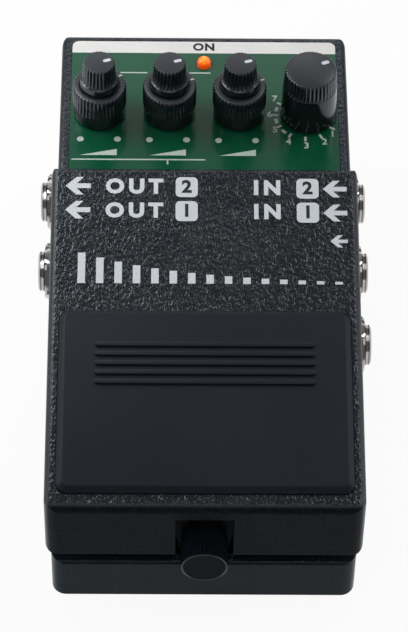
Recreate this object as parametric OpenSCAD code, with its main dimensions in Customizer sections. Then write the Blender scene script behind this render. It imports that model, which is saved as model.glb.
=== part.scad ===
// Compact delay pedal for a guitar: die-cast base and foot treadle, three stacked knobs,
// a mode selector, five phone jacks and a power inlet. All sizes are in millimetres.
// X runs across the pedal, +Y to the rear and +Z up. The origin is the centre of the
// footprint, on the face that the pedal rests on.

/* [Base casting] */
// Wall of the base casting
body_wall = 2.4; // [2:0.1:2.8]
// Corner radius of the base casting in plan
body_corner_r = 3; // [2:0.5:4]
// Radius along the top edges of the control housing
housing_edge_r = 1.2; // [0.6:0.1:1.6]
// Length of the control housing, front to rear
housing_l = 43; // [42:0.5:46]
// Room ahead of the wall that takes the thumbscrew
nose_l = 7.2; // [7:0.1:8]
// Room for the return spring, between the thumbscrew's wall and the battery bay
spring_room_l = 9.7; // [9.5:0.1:12]
// Length behind the rearmost jack
rear_l = 28.7; // [26:0.1:34]
// Height of the side walls of the battery bay above the battery
bay_rim = 2.5; // [1:0.5:4]
// Thickness of the battery bay's own walls and floor
bay_wall = 2; // [1.6:0.1:2.4]
// Clear height between the jacks and the control board
wiring_h = 5.78; // [5:0.1:8]

/* [Underside] */
// Thickness of the rubber mat that the pedal rests on
mat_t = 2; // [1.5:0.1:3]
// How far the mat stays inside the casting's outline
mat_inset = 2.2; // [1.5:0.1:3]
// Thickness of the bottom plate
floor_plate_t = 1.2; // [1:0.1:1.6]
// Width of the casting's rim around the bottom plate
floor_rim = 1; // [0.8:0.1:1.2]
// Radius of the bottom screws' thread
floor_screw_r = 1.5; // [1.2:0.1:1.6]
// Radius of the bottom screws' heads
floor_screw_head_r = 2.9; // [2.5:0.1:3.2]
// Length of the bottom screws' threads
floor_screw_l = 8; // [6:0.5:9]

/* [Treadle] */
// How far the treadle's sides stand out past the base casting
treadle_over = 1.05; // [0.9:0.05:1.5]
// How far the treadle's nose stands out past the base casting
treadle_nose = 0.65; // [0.2:0.05:1]
// Height of the treadle's rear edge above the control panel
treadle_rise = 5.46; // [4.5:0.1:7]
// Downward slope of the treadle from rear to front, in degrees
treadle_slope = 9.71; // [9:0.1:10.5]
// Height of the treadle's front lip
lip_h = 16.66; // [15.5:0.1:17.5]
// Gap between the lip and the base's front ledge
lip_gap = 3.84; // [3.6:0.1:4.5]
// Thickness of the treadle's top
treadle_top_t = 2.4; // [2:0.1:2.8]
// Thickness of the treadle's side skirts
skirt_t = 1.8; // [1.5:0.1:2]
// Thickness of the treadle's front lip
lip_t = 2.4; // [2:0.1:2.6]
// Radius along the treadle's top edges
treadle_edge_r = 1.6; // [0.8:0.1:2]
// Corner radius of the treadle's nose in plan
nose_corner_r = 3; // [2:0.5:4]
// Radius of the treadle's rear corners, seen from above
rear_corner_r = 2; // [1:0.5:2]
// Turn of the treadle when it is pressed home, in degrees
press_angle = 2.2; // [1.5:0.1:2.4]

/* [Foot pad] */
// Width of the rubber pad
pad_w = 61.4; // [56:0.1:62]
// Length of the rubber pad along the slope
pad_l = 42.5; // [38:0.1:43]
// Distance from the pad to the treadle's front edge, along the slope
pad_front = 3.55; // [3:0.05:5]
// Height of the pad above the treadle's top
pad_h = 1.5; // [1:0.1:2.5]
// Depth that the pad is let into the treadle
pad_sunk = 0.6; // [0.4:0.1:0.8]
// Number of grip ribs on the pad
pad_ribs = 5; // [3:1:6]
// Length of a grip rib
pad_rib_l = 46; // [30:1:50]
// Width of a grip rib
pad_rib_w = 1.1; // [0.8:0.1:1.3]
// Spacing of the grip ribs
pad_rib_pitch = 2.2; // [2:0.1:2.6]

/* [Hinge and spring] */
// Distance from the treadle's rear edge to the hinge
hinge_inset = 7; // [6:0.1:8]
// Depth of the hinge below the control panel
hinge_drop = 4.4; // [4:0.1:5]
// Radius of the hinge rod
hinge_r = 1.5; // [1.2:0.1:1.7]
// Radius of the return spring to the middle of its wire
spring_r = 3.4; // [3:0.1:3.7]
// Radius of the return spring's wire
spring_wire_r = 0.5; // [0.4:0.05:0.55]
// Number of turns of the return spring
spring_turns = 5; // [4:1:5]

/* [Thumbscrew] */
// Radius of the thumbscrew's knurled head
thumb_r = 4.87; // [4.4:0.1:5]
// Length of the thumbscrew's head
thumb_l = 7.8; // [6:0.1:9]
// Gap between the thumbscrew's head and the ledge below it
thumb_lift = 0.86; // [0.6:0.1:1.2]
// How far the thumbscrew's head stands out of the base's front
thumb_out = 4.85; // [4.5:0.05:5.2]
// Radius of the thumbscrew's thread
thumb_thread_r = 2; // [1.5:0.1:2.2]
// Radius of the guide bush
bush_r = 3; // [2.8:0.1:3.2]

/* [Control panel] */
// Thickness of the panel plate
plate_t = 0.8; // [0.6:0.1:1.2]
// Border of the casting at each side of the panel plate
plate_side = 2.3; // [2:0.1:3]
// Border of the casting behind and ahead of the panel plate
plate_end = 1.8; // [1.6:0.1:2.4]
// Distance from the rear of the casting to the row of knobs
knob_inset = 23.57; // [22:0.1:24]
// Spacing of the knobs
knob_pitch = 15.4; // [15:0.1:17]
// Distance from the rear of the casting to the lamp
lamp_inset = 8.6; // [8:0.1:10]
// Radius of the lamp's lens
lamp_r = 1.6; // [1.2:0.1:2]

/* [Knobs] */
// Gap between the panel and the knobs
knob_gap = 0.4; // [0.3:0.1:0.8]
// Radius of a ring knob at its foot
ring_r = 5.95; // [5.5:0.05:6.5]
// Radius of a ring knob at its top
ring_top_r = 5.65; // [5.3:0.05:6]
// Height of a ring knob
ring_h = 9; // [8:0.1:10]
// Radius of a cap knob at its foot
cap_r = 4.3; // [4:0.05:4.8]
// Radius of a cap knob at its top
cap_top_r = 3.57; // [3.3:0.05:4]
// Height of a cap knob
cap_h = 6.6; // [6:0.1:8]
// Radius of the selector knob at its foot
selector_r = 6.3; // [6:0.05:6.8]
// Radius of the selector knob at its top
selector_top_r = 5.68; // [5.3:0.05:6]
// Height of the selector knob
selector_h = 14.56; // [13:0.1:16]
// Radius along the top edge of each knob
knob_edge_r = 0.6; // [0.3:0.1:0.8]
// Radius of the cap knobs' shafts
cap_shaft_r = 2; // [1.8:0.05:2.1]
// Radius of the ring knobs' shafts and of the selector's shaft
ring_shaft_r = 3; // [2.8:0.05:3.1]

/* [Pots and boards] */
// Width and depth of a pot's body
pot_w = 12; // [11:0.1:13]
// Height of a pot's body
pot_h = 7.5; // [6:0.1:9]
// Room between the outer pots and the housing's side walls
pot_side_gap = 0.45; // [0.3:0.05:1]
// Radius of a pot's threaded neck
pot_neck_r = 3.6; // [3.5:0.05:3.8]
// Width of a pot's nut across its flats
pot_nut_w = 8.4; // [8.2:0.1:9]
// Height of a pot's nut
pot_nut_h = 2; // [1.5:0.1:2.4]
// Thickness of the circuit boards
board_t = 1.6; // [1.2:0.1:2]
// Height of the main board above the bottom plate
board_lift = 2; // [1.5:0.1:3]
// Height of the tallest part on the main board
chip_h = 4.2; // [3.5:0.1:5]

/* [Jacks] */
// Spacing of the jacks along each side
jack_pitch = 20.23; // [19:0.05:22]
// Radius of the hole that takes a plug
jack_bore_r = 3.25; // [3.2:0.01:3.3]
// Depth of the hole that takes a plug
jack_bore_l = 27; // [25:0.5:29]
// Radius of a jack's threaded neck
jack_neck_r = 4.5; // [4.2:0.1:4.8]
// How far a jack's neck stands out of the casting
jack_neck_l = 4.55; // [4:0.05:5]
// Width of a jack's body
jack_body_w = 12; // [11:0.1:13]
// Height of a jack's body
jack_body_h = 13; // [12:0.1:14]
// Length of a jack's body
jack_body_l = 23.5; // [22:0.1:25]
// Width of a jack's nut across its flats
jack_nut_w = 11.6; // [11:0.1:12]
// Height of a jack's nut
jack_nut_h = 2.4; // [2:0.1:2.8]
// Radius of a jack's washer
jack_washer_r = 6.6; // [6.2:0.1:7]
// Thickness of a jack's washer
jack_washer_t = 0.7; // [0.5:0.1:0.9]
// Distance of the power inlet from the centre line
inlet_x = 14; // [12:0.5:16]
// Radius of the power inlet's hole
inlet_bore_r = 2.9; // [2.8:0.05:3]
// Radius of the power inlet's centre pin
inlet_pin_r = 1.05; // [0.9:0.05:1.3]

/* [Battery and switch] */
// Length of the battery, across the pedal
battery_l = 48.5; // [46:0.1:49]
// Width of the battery, front to rear
battery_w = 26.5; // [25:0.1:28]
// Height of the battery
battery_h = 17.5; // [16:0.1:18]
// Room around the battery
battery_gap = 0.55; // [0.4:0.05:1]
// Thickness of the battery's snap connector
snap_t = 5; // [4:0.1:6]
// Width of the foot switch's body
switch_w = 10; // [9:0.1:12]
// Height of the foot switch's body
switch_h = 3.6; // [3:0.1:4]
// Radius of the foot switch's plunger
plunger_r = 1.8; // [1.5:0.1:2.2]
// Distance from the hinge forward to the foot switch
switch_reach = 19; // [17:0.5:21]

/* [Clearances] */
// Clearance of shafts and the hinge rod that turn in their holes, on the radius
run_gap = 0.05; // [0.03:0.01:0.08]
// Clearance of pieces that are fixed in their holes, on the radius
fix_gap = 0.02; // [0.01:0.005:0.03]
// Clearance of necks and screws that pass through a hole, on the radius
pass_gap = 0.15; // [0.1:0.05:0.2]
// Clearance beside pieces that are laid into a pocket
lay_gap = 0.1; // [0.05:0.05:0.2]
// Clearance between the treadle's skirts and the base inside them
skirt_gap = 0.6; // [0.5:0.05:0.7]
// Clearance between the treadle's rear edge and the control housing
rear_gap = 0.8; // [0.6:0.05:1]
// Clearance between the treadle's pressing faces and what they press
press_gap = 0.3; // [0.2:0.05:0.4]

/* [Hidden] */
$fn = 64;
cut = 1;
SIDES = [-1, 1];
arc_steps = 8;

// Places along Y, from the front face back
jack_edge = 0.2;
body_l = nose_l + spring_room_l + bay_l() + jack_edge + jack_body_w / 2 + 2 * jack_pitch + rear_l;
front_y = -body_l / 2;
rear_y = body_l / 2;
thumb_wall_y = front_y + nose_l;
bay_y = thumb_wall_y + spring_room_l;
bay_end_y = bay_y + bay_l();
jack_y = [for (k = [2:-1:0]) bay_end_y + jack_edge + jack_body_w / 2 + k * jack_pitch];
housing_y = rear_y - housing_l;
knob_y = rear_y - knob_inset;
lamp_y = rear_y - lamp_inset;
treadle_y = housing_y - rear_gap;
nose_y = front_y - treadle_nose;
hinge_y = treadle_y - hinge_inset;
switch_y = hinge_y - switch_reach;
spring_y = thumb_wall_y + spring_room_l / 2;

// Places along X
body_w = 3 * knob_pitch + pot_w + 2 * (pot_side_gap + body_wall);
knob_x = [for (k = [0:3]) (k - 1.5) * knob_pitch];
treadle_w = body_w + 2 * treadle_over;
core_w = treadle_w - 2 * (skirt_t + skirt_gap);
room_w = body_w - 2 * body_wall;
core_room_w = core_w - 2 * body_wall;
plate_w = body_w - 2 * plate_side;

// Heights
floor_z = mat_t + floor_plate_t;
board_z = floor_z + board_lift;
board_top_z = board_z + board_t;
jack_foot_gap = 0.5;
jack_z = board_top_z + chip_h + jack_foot_gap + jack_body_h / 2;
control_board_z = jack_z + jack_body_h / 2 + wiring_h;
pot_z = control_board_z + board_t;
roof_z = pot_z + pot_h;
plate_z = roof_z + body_wall;
panel_z = plate_z + plate_t;
treadle_rear_z = panel_z + treadle_rise;
lip_z = top_z(nose_y) - lip_h;
ledge_z = lip_z - lip_gap;
hinge_z = panel_z - hinge_drop;
boss_r = 4;
boss_gap = 1;
deck_z = hinge_z - boss_r - boss_gap;
bay_floor_z = floor_z + bay_wall;
bay_top_z = bay_floor_z + battery_h + bay_rim;
thumb_z = ledge_z + thumb_lift + thumb_r;
thread_cover = 2;
spring_deck_z = thumb_z + thumb_thread_r + thread_cover;

// The skirts' lower edge, and the base's shoulder that it comes down to
skirt_cover = 0.9;
skirt_drop = boss_r + skirt_cover;
skirt_rise = (hinge_z - skirt_drop - lip_z) / (hinge_y - nose_y);
shoulder_gap = 0.6;
shoulder_rise = (hinge_z - skirt_drop - shoulder_gap - ledge_z) / (hinge_y - front_y);

// Thumbscrew, guide bush and the tongue that the bush holds
thread_end_gap = 0.8;
thumb_face_y = front_y - thumb_out;
thumb_back_y = thumb_face_y + thumb_l;
tongue_y = thumb_back_y + press_gap;
tongue_t = 1.8;
tongue_w = 11;
tongue_web = 2.2;
press_travel = (hinge_y - tongue_y) * sin(press_angle);
slot_z = thumb_z - bush_r - pass_gap;
slot_top_z = thumb_z + bush_r + press_travel + 2 * press_gap;
tongue_z = slot_z - tongue_web;
pocket_gap = 1;
pocket_wall = 2;
pocket_z = tongue_z - press_travel - pocket_gap;
recess_gap = 1.15;
recess_head = 3.5;
recess_w = 2 * (thumb_r + recess_gap);
recess_z = thumb_z + thumb_r + press_travel + recess_head;
thread_block_w = 16;
thread_block_drop = 4.5;
thread_end_y = bay_y - thread_end_gap;

// Corner posts, bottom screws, boards and their fixings
post_wall = 1.9;
post_bite = 1;
post_h = 10;
post_r = floor_screw_r + post_wall;
post_x = room_w / 2 - post_r + post_bite;
post_y = [thumb_wall_y + body_wall + post_r - post_bite, rear_y - body_wall - post_r + post_bite];
floor_screw_head_h = 1.4;
floor_screw_end_gap = 0.5;
mat_hole_gap = 0.4;
board_side_gap = 1.5;
board_front_gap = 1;
board_rear_gap = 11;
board_y = [bay_end_y + board_front_gap, rear_y - board_rear_gap];
board_screw_r = 1.2;
board_screw_head_r = 2.1;
board_screw_head_h = 1.6;
standoff_r = 2.5;
standoff_side = 2 * standoff_r;
standoff_front = 9.4;
standoff_rear = 4;
standoff_x = room_w / 2 - standoff_side;
standoff_y = [board_y[0] + standoff_front, board_y[1] - standoff_rear];
control_side_gap = 0.6;
control_front = 2;
control_rear = 4;
control_y = [knob_y - pot_w / 2 - control_front, lamp_y + control_rear];
ribbon_x = 8;
ribbon_w = 12;
ribbon_t = 0.6;
ribbon_y = board_y[1] - 5;
header_h = 2.5;
header_wall = 1.5;
header_floor = 0.6;

// Chips: a processor, two converters and two upright cans
processor = [18, 18, 1.6];
converter = [9, 6.5, 2.4];
converter_x = 15;
can_r = 2.5;
can_x = 22;

// Jacks' pins and the power inlet
pin_r = 0.6;
jack_pins = [6, 18];
inlet_w = 11;
inlet_l = 13;
inlet_out = 0.3;
inlet_floor = 3;
inlet_pin_x = 3;
inlet_rim = 1.4;
inlet_pin_in = 0.6;

// Foot switch
switch_floor = 0.5;
switch_flange_t = 1.2;
switch_flange_l = 5;
switch_flange_side = 1;
switch_screw_r = 1;
switch_screw_head_r = 1.9;
switch_screw_x = switch_w / 2 + switch_flange_l / 2;
plunger_up = 2.2;
plunger_throw = 0.9;
plunger_low_z = deck_z + switch_floor + plunger_throw;
plunger_top_z = deck_z + switch_h + plunger_up;
plunger_boss_r = plunger_r + 1.5;

// Hinge lugs, bosses and rod
lug_t = 4;
lug_inset = 5;
hinge_boss_l = 1.4;
hinge_rod_inset = 0.5;

// Rounded edges
front_edge_r = 0.8;
lip_edge_r = 0.6;
nose_edge_r = 1.25 * treadle_edge_r;
rear_edge_r = 0.9 * treadle_edge_r;
plate_corner_r = 1.5;

// Return spring, its seats and its path. The seats' spigots stand inside its ends.
seat_gap = 0.4;
seat_h = 2.2;
spigot_h = 1.6;
spigot_r = spring_r - spring_wire_r - 0.3;
seat_r = spring_r + spring_wire_r + seat_gap;
spring_top_z = under_z(spring_y + seat_r) - seat_h;
spring_low = spring_deck_z + 2 * spring_wire_r;
spring_high = spring_top_z - 2 * spring_wire_r;
spring_steps = spring_turns * 8;
spring_path = concat(
    [spring_point(0) - [0, 2 * spring_wire_r, 0]],
    [for (k = [0:spring_steps]) spring_point(k)],
    [spring_point(spring_steps) + [0, 2 * spring_wire_r, 0]]
);
spring_gap = min([
    for (i = [0:len(spring_path) - 1], j = [0:len(spring_path) - 1])
        if (j - i >= 6) norm(spring_path[i] - spring_path[j]) - 2 * spring_wire_r
]);
echo(spring_gap = spring_gap);

// Battery and its snap, laid against the bay's left end
battery_x = -core_room_w / 2 + battery_gap;
battery_y = bay_y + bay_wall + battery_gap;
snap_x = battery_x + battery_l + 2 * lay_gap;
snap_side = 1;
lead_r = 0.6;
lead_space = 1.5 * lead_r;
lead_hole_r = lead_space + lead_r + 0.7;
lead_x = snap_x + snap_t / 2;
lead_z = bay_floor_z + 3;
lead_bend = 2;

// Knobs and pad. The turns are clockwise from twelve o'clock, as the knobs stand.
ring_z = panel_z + knob_gap;
cap_z = ring_z + ring_h + knob_gap;
neck_h = pot_nut_h + 0.4;
nut_room_h = neck_h + 0.6;
nut_room_r = pot_nut_w / 2 / cos(30) + 0.35;
cap_top_t = 1.8;
selector_top_t = 3;
ring_shaft_drop = 0.6;
shaft_end_gap = 0.2;
pot_floor = 1;
pot_step = 3;
mark_w = 0.7;
mark_t = 0.3;
cap_turn = 72;
selector_turn = 60;
pad_corner_r = 2.5;
pad_bevel = 0.8 * pad_h;
pad_rib_h = 0.5;
pad_ribs_y = 0.19 * pad_l;

// Lamp: a lens with a flange, in a holder on the control board
lamp_flange = 0.6;
lamp_up = 0.2;
lamp_seat = 3;
holder_wall = 1.2;

function bay_l() = 2 * (bay_wall + battery_gap) + battery_w;
function top_z(y) = treadle_rear_z + (y - treadle_y) * tan(treadle_slope);
function under_z(y) = top_z(y) - treadle_top_t / cos(treadle_slope);
function skirt_z(y) = lip_z + (y - nose_y) * skirt_rise;
function shoulder_z(y) = ledge_z + (y - front_y) * shoulder_rise;
function spring_turn(k) = 360 * spring_turns * k / spring_steps;
function spring_point(k) = [
    spring_r * cos(spring_turn(k)),
    spring_r * sin(spring_turn(k)),
    spring_low + (spring_high - spring_low) * k / spring_steps,
];
function inlet_nose_r() = inlet_bore_r + inlet_rim;
function unit(v) = v / norm(v);
function wrap(points, i) = points[(i + len(points)) % len(points)];

// A corner's fillet: its centre, the arms from there to where it meets the edges, and its arc
function to_last(points, i) = unit(wrap(points, i - 1) - points[i]);
function to_next(points, i) = unit(wrap(points, i + 1) - points[i]);
function half_angle(points, i) = acos(to_last(points, i) * to_next(points, i)) / 2;
function fillet_centre(points, i, r) =
    points[i] + unit(to_last(points, i) + to_next(points, i)) * r / sin(half_angle(points, i));
function fillet_arc(points, i, r) = let (
    centre = fillet_centre(points, i, r),
    reach = r / tan(half_angle(points, i)),
    from = points[i] + to_last(points, i) * reach - centre,
    to = points[i] + to_next(points, i) * reach - centre
) [for (t = [0:1 / arc_steps:1]) centre + r * unit(from * (1 - t) + to * t)];

// A polygon whose outer corners are rounded, each by its own radius, with 0 for a sharp one
module rounded_polygon(points, radii) {
    polygon([
        for (i = [0:len(points) - 1])
            each radii[i] > 0 ? fillet_arc(points, i, radii[i]) : [points[i]]
    ]);
}

module rounded_rect(w, l, r) {
    square([w - 2 * r, l], center = true);
    square([w, l - 2 * r], center = true);
    for (x = SIDES, y = SIDES) translate([x * (w / 2 - r), y * (l / 2 - r)]) circle(r);
}

// A side outline in Y and Z, carried across the pedal
module across(w) {
    rotate([90, 0, 90]) linear_extrude(w, center = true) children();
}

// A front outline in X and Z, carried along the pedal from one Y to another
module along(y0, y1) {
    translate([0, y1, 0]) rotate([90, 0, 0]) linear_extrude(y1 - y0) children();
}

// A box between two corners
module block(low, high) {
    translate(low) cube(high - low);
}

// A cylinder that runs along X outwards from one side's x, or along Y or Z from a point
module rod_x(side, x0, x1, r) {
    translate([side * x0, 0, 0]) rotate([0, side * 90, 0]) cylinder(r = r, h = x1 - x0);
}

module rod_y(y0, y1, r) {
    translate([0, y0, 0]) rotate([-90, 0, 0]) cylinder(r = r, h = y1 - y0);
}

module rod_z(z0, z1, r) {
    translate([0, 0, z0]) cylinder(r = r, h = z1 - z0);
}

module hex_nut(w, h, bore_r) {
    difference() {
        cylinder(r = w / 2 / cos(30), h = h, $fn = 6);
        translate([0, 0, -cut]) cylinder(r = bore_r, h = h + 2 * cut);
    }
}

// Base casting

// The full-width part: low walls, a sloped shoulder and the control housing
module base_outside() {
    intersection() {
        across(body_w) rounded_polygon([
            [front_y, mat_t],
            [front_y, ledge_z],
            [housing_y, shoulder_z(housing_y)],
            [housing_y, panel_z],
            [rear_y, panel_z],
            [rear_y, mat_t],
        ], [0, front_edge_r, 0, front_edge_r, housing_edge_r, 0]);
        translate([0, 0, mat_t]) linear_extrude(panel_z) rounded_rect(body_w, body_l, body_corner_r);
        along(front_y - cut, rear_y + cut) rounded_polygon([
            [-body_w / 2, mat_t - cut],
            [body_w / 2, mat_t - cut],
            [body_w / 2, panel_z],
            [-body_w / 2, panel_z],
        ], [0, 0, housing_edge_r, housing_edge_r]);
    }
}

// The narrower part that stands up inside the treadle
module base_core() {
    across(core_w) polygon([
        [thumb_wall_y, ledge_z - body_wall],
        [thumb_wall_y, spring_deck_z],
        [bay_y, spring_deck_z],
        [bay_y, bay_top_z],
        [bay_end_y - bay_wall, deck_z],
        [housing_y + body_wall, deck_z],
        [housing_y + body_wall, ledge_z - body_wall],
    ]);
}

module base_rooms() {
    roof_y = housing_y + body_wall;
    across(room_w) polygon([
        [front_y + body_wall, mat_t - cut],
        [front_y + body_wall, ledge_z - body_wall],
        [roof_y, shoulder_z(roof_y) - body_wall],
        [roof_y, roof_z],
        [rear_y - body_wall, roof_z],
        [rear_y - body_wall, mat_t - cut],
    ]);
    across(core_room_w) {
        polygon([
            [bay_end_y, floor_z],
            [bay_end_y, deck_z - body_wall],
            [roof_y + cut, deck_z - body_wall],
            [roof_y + cut, floor_z],
        ]);
        polygon([
            [thumb_wall_y + body_wall, floor_z],
            [thumb_wall_y + body_wall, spring_deck_z - body_wall],
            [bay_y, spring_deck_z - body_wall],
            [bay_y, floor_z],
        ]);
    }
}

module hinge_lugs() {
    lug_low_z = deck_z - body_wall / 2;
    for (side = SIDES) translate([side * (core_w / 2 - lug_inset), 0, 0]) across(lug_t) {
        translate([hinge_y, hinge_z]) circle(boss_r);
        translate([hinge_y - boss_r, lug_low_z]) square([2 * boss_r, hinge_z - lug_low_z]);
    }
}

module base_fittings() {
    inner_x = core_room_w / 2;
    // Battery bay
    block([-inner_x - body_wall / 2, bay_y, floor_z], [inner_x + body_wall / 2, bay_end_y, bay_top_z]);
    // Block that the thumbscrew threads into, with the spring's seat on top
    block(
        [-thread_block_w / 2, thumb_wall_y, thumb_z - thread_block_drop],
        [thread_block_w / 2, bay_y + bay_wall / 2, spring_deck_z]
    );
    translate([0, spring_y, 0]) rod_z(spring_deck_z - cut, spring_deck_z + spigot_h, spigot_r);
    // Floor below the tongue's pocket
    pocket_x = tongue_w / 2 + pocket_gap + pocket_wall;
    block(
        [-pocket_x, front_y + body_wall / 2, pocket_z - pocket_wall],
        [pocket_x, thumb_wall_y + cut, ledge_z - cut]
    );
    // Posts for the bottom screws
    for (x = SIDES, y = post_y) translate([x * post_x, y, 0]) rod_z(floor_z, floor_z + post_h, post_r);
    hinge_lugs();
}

module jack_places() {
    for (y = [jack_y[0], jack_y[1]]) translate([0, y, jack_z]) jack_side(-1) children();
    for (y = jack_y) translate([0, y, jack_z]) jack_side(1) children();
}

// Turns a jack, which is drawn along +Z from the casting's outer face, to its side
module jack_side(side) {
    translate([side * body_w / 2, 0, 0]) rotate([0, side * 90, 0]) children();
}

module base_casting() color("#1d1e20") difference() {
    union() {
        difference() {
            union() {
                base_outside();
                base_core();
            }
            base_rooms();
        }
        base_fittings();
    }
    // Inside of the battery bay, open at its top
    block(
        [-core_room_w / 2, bay_y + bay_wall, bay_floor_z],
        [core_room_w / 2, bay_end_y - bay_wall, panel_z]
    );
    // Way through for the battery's leads
    translate([lead_x, 0, lead_z]) rod_y(bay_end_y - 2 * bay_wall, bay_end_y + cut, lead_hole_r);
    // Hole for the thumbscrew and pocket for the treadle's tongue
    translate([0, 0, thumb_z]) rod_y(thumb_wall_y - cut, bay_y, thumb_thread_r + run_gap);
    block(
        [-tongue_w / 2 - pocket_gap, tongue_y - pocket_gap, pocket_z],
        [tongue_w / 2 + pocket_gap, thumb_wall_y, thumb_z]
    );
    // Rebate for the bottom plate, and holes for its screws
    translate([0, 0, mat_t - cut]) linear_extrude(floor_plate_t + cut)
        rounded_rect(body_w - 2 * floor_rim, body_l - 2 * floor_rim, body_corner_r - floor_rim);
    for (x = SIDES, y = post_y) translate([x * post_x, y, 0])
        rod_z(floor_z - cut, floor_z + floor_screw_l, floor_screw_r + fix_gap);
    // Pocket for the panel plate, and holes for the pots, the lamp, the jacks and the inlet
    translate([0, 0, plate_z]) linear_extrude(panel_z) plate_outline(lay_gap);
    for (x = knob_x) translate([x, knob_y, 0]) rod_z(roof_z - cut, panel_z, pot_neck_r + pass_gap);
    translate([0, lamp_y, 0]) rod_z(roof_z - cut, panel_z, lamp_r + pass_gap);
    jack_places() {
        rod_z(-body_wall - cut, cut, jack_neck_r + pass_gap);
        // Room for the jack's body under the shoulder
        translate([0, 0, -body_wall - (room_w - core_room_w) / 2 - cut])
            linear_extrude((room_w - core_room_w) / 2 + cut)
            square([jack_body_h + 2 * pass_gap, jack_body_w + 2 * pass_gap], center = true);
    }
    translate([-inlet_x, 0, jack_z]) rod_y(rear_y - body_wall - cut, rear_y + cut, inlet_nose_r() + pass_gap);
    // Holes for the hinge rod and for the foot switch's screws
    translate([0, hinge_y, hinge_z]) rod_x(1, -core_w / 2, core_w / 2, hinge_r + fix_gap);
    for (side = SIDES) translate([side * switch_screw_x, switch_y, 0])
        rod_z(deck_z - body_wall - cut, deck_z + cut, switch_screw_r + fix_gap);
}

module bottom_plate() color("#3c3e42") difference() {
    translate([0, 0, mat_t]) linear_extrude(floor_plate_t)
        rounded_rect(
            body_w - 2 * (floor_rim + lay_gap), body_l - 2 * (floor_rim + lay_gap),
            body_corner_r - floor_rim - lay_gap
        );
    for (x = SIDES, y = post_y) translate([x * post_x, y, 0])
        rod_z(0, floor_z + cut, floor_screw_r + pass_gap);
}

module base_mat() color("#161718") difference() {
    linear_extrude(mat_t) rounded_rect(
        body_w - 2 * mat_inset, body_l - 2 * mat_inset, body_corner_r - mat_inset / 2
    );
    for (x = SIDES, y = post_y) translate([x * post_x, y, 0])
        rod_z(-cut, mat_t + cut, floor_screw_head_r + mat_hole_gap);
}

module bottom_screws() color("#8d9095")
    for (x = SIDES, y = post_y) translate([x * post_x, y, 0]) {
        rod_z(mat_t - floor_screw_head_h, mat_t, floor_screw_head_r);
        rod_z(mat_t - cut / 2, floor_z + floor_screw_l - floor_screw_end_gap, floor_screw_r);
    }

// Treadle

// Places its children on the treadle's top, with Y up the slope from the rear edge
module on_treadle() {
    translate([0, treadle_y, treadle_rear_z]) rotate([treadle_slope, 0, 0]) children();
}

module treadle_outside() {
    plan_l = treadle_y - nose_y + 2 * nose_corner_r;
    intersection() {
        across(treadle_w + 2 * cut) rounded_polygon([
            [nose_y, lip_z],
            [nose_y, top_z(nose_y)],
            [treadle_y, treadle_rear_z],
            [treadle_y, skirt_z(treadle_y)],
        ], [lip_edge_r, nose_edge_r, rear_edge_r, 0]);
        translate([0, nose_y + plan_l / 2, 0]) linear_extrude(treadle_rear_z + cut)
            rounded_rect(treadle_w, plan_l, nose_corner_r);
        translate([0, treadle_y - plan_l / 2, 0]) linear_extrude(treadle_rear_z + cut)
            rounded_rect(treadle_w, plan_l, rear_corner_r);
        on_treadle() along(-2 * body_l, body_l) rounded_polygon([
            [-treadle_w / 2, -2 * treadle_rear_z],
            [treadle_w / 2, -2 * treadle_rear_z],
            [treadle_w / 2, 0],
            [-treadle_w / 2, 0],
        ], [0, 0, treadle_edge_r, treadle_edge_r]);
    }
}

module treadle_inside() {
    lip_in_y = nose_y + lip_t;
    rear_in_y = treadle_y - lip_t;
    across(treadle_w - 2 * skirt_t) polygon([
        [lip_in_y, 0],
        [lip_in_y, under_z(lip_in_y)],
        [rear_in_y, under_z(rear_in_y)],
        [rear_in_y, panel_z + rear_gap],
        [treadle_y + cut, panel_z + rear_gap],
        [treadle_y + cut, 0],
    ]);
}

module treadle_bosses() {
    // Hinge bosses inside the skirts
    skirt_x = treadle_w / 2 - skirt_t;
    for (side = SIDES) translate([0, hinge_y, hinge_z])
        rod_x(side, skirt_x - hinge_boss_l, skirt_x + cut / 2, boss_r);
    // Boss over the foot switch, and the spring's upper seat
    translate([0, switch_y, 0]) rod_z(plunger_top_z + press_gap, under_z(switch_y) + cut, plunger_boss_r);
    translate([0, spring_y, 0]) {
        rod_z(spring_top_z, under_z(spring_y) + cut, seat_r);
        rod_z(spring_top_z - spigot_h, under_z(spring_y), spigot_r);
    }
    // Walls around the thumbscrew's recess, and the tongue below them
    front_in_y = nose_y + lip_t / 2;
    tongue_end_y = tongue_y + tongue_t;
    across(recess_w + 2 * skirt_t) polygon([
        [front_in_y, lip_z],
        [front_in_y, recess_z + skirt_t],
        [tongue_end_y, recess_z + skirt_t],
        [tongue_end_y, skirt_z(tongue_end_y)],
    ]);
    block([-tongue_w / 2, tongue_y, tongue_z], [tongue_w / 2, tongue_end_y, skirt_z(tongue_end_y) + cut]);
}

module treadle() color("#202124") difference() {
    union() {
        difference() {
            treadle_outside();
            treadle_inside();
        }
        treadle_bosses();
    }
    // Recess for the thumbscrew's head, and the slot that the guide bush runs in
    block([-recess_w / 2, nose_y - cut, lip_z - cut], [recess_w / 2, tongue_y, recess_z]);
    block(
        [-bush_r - press_gap, tongue_y - cut, slot_z],
        [bush_r + press_gap, tongue_y + tongue_t + cut, slot_top_z]
    );
    // Hinge holes and the pad's bed
    translate([0, hinge_y, hinge_z]) rod_x(1, -treadle_w, treadle_w, hinge_r + run_gap);
    on_pad() translate([0, 0, -pad_sunk]) linear_extrude(pad_sunk + cut)
        rounded_rect(pad_w + 2 * lay_gap, pad_l + 2 * lay_gap, pad_corner_r + lay_gap);
}

// Places its children at the middle of the pad, on the treadle's top
module on_pad() {
    slope_l = (treadle_y - nose_y) / cos(treadle_slope);
    on_treadle() translate([0, pad_front + pad_l / 2 - slope_l, 0]) children();
}

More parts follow.
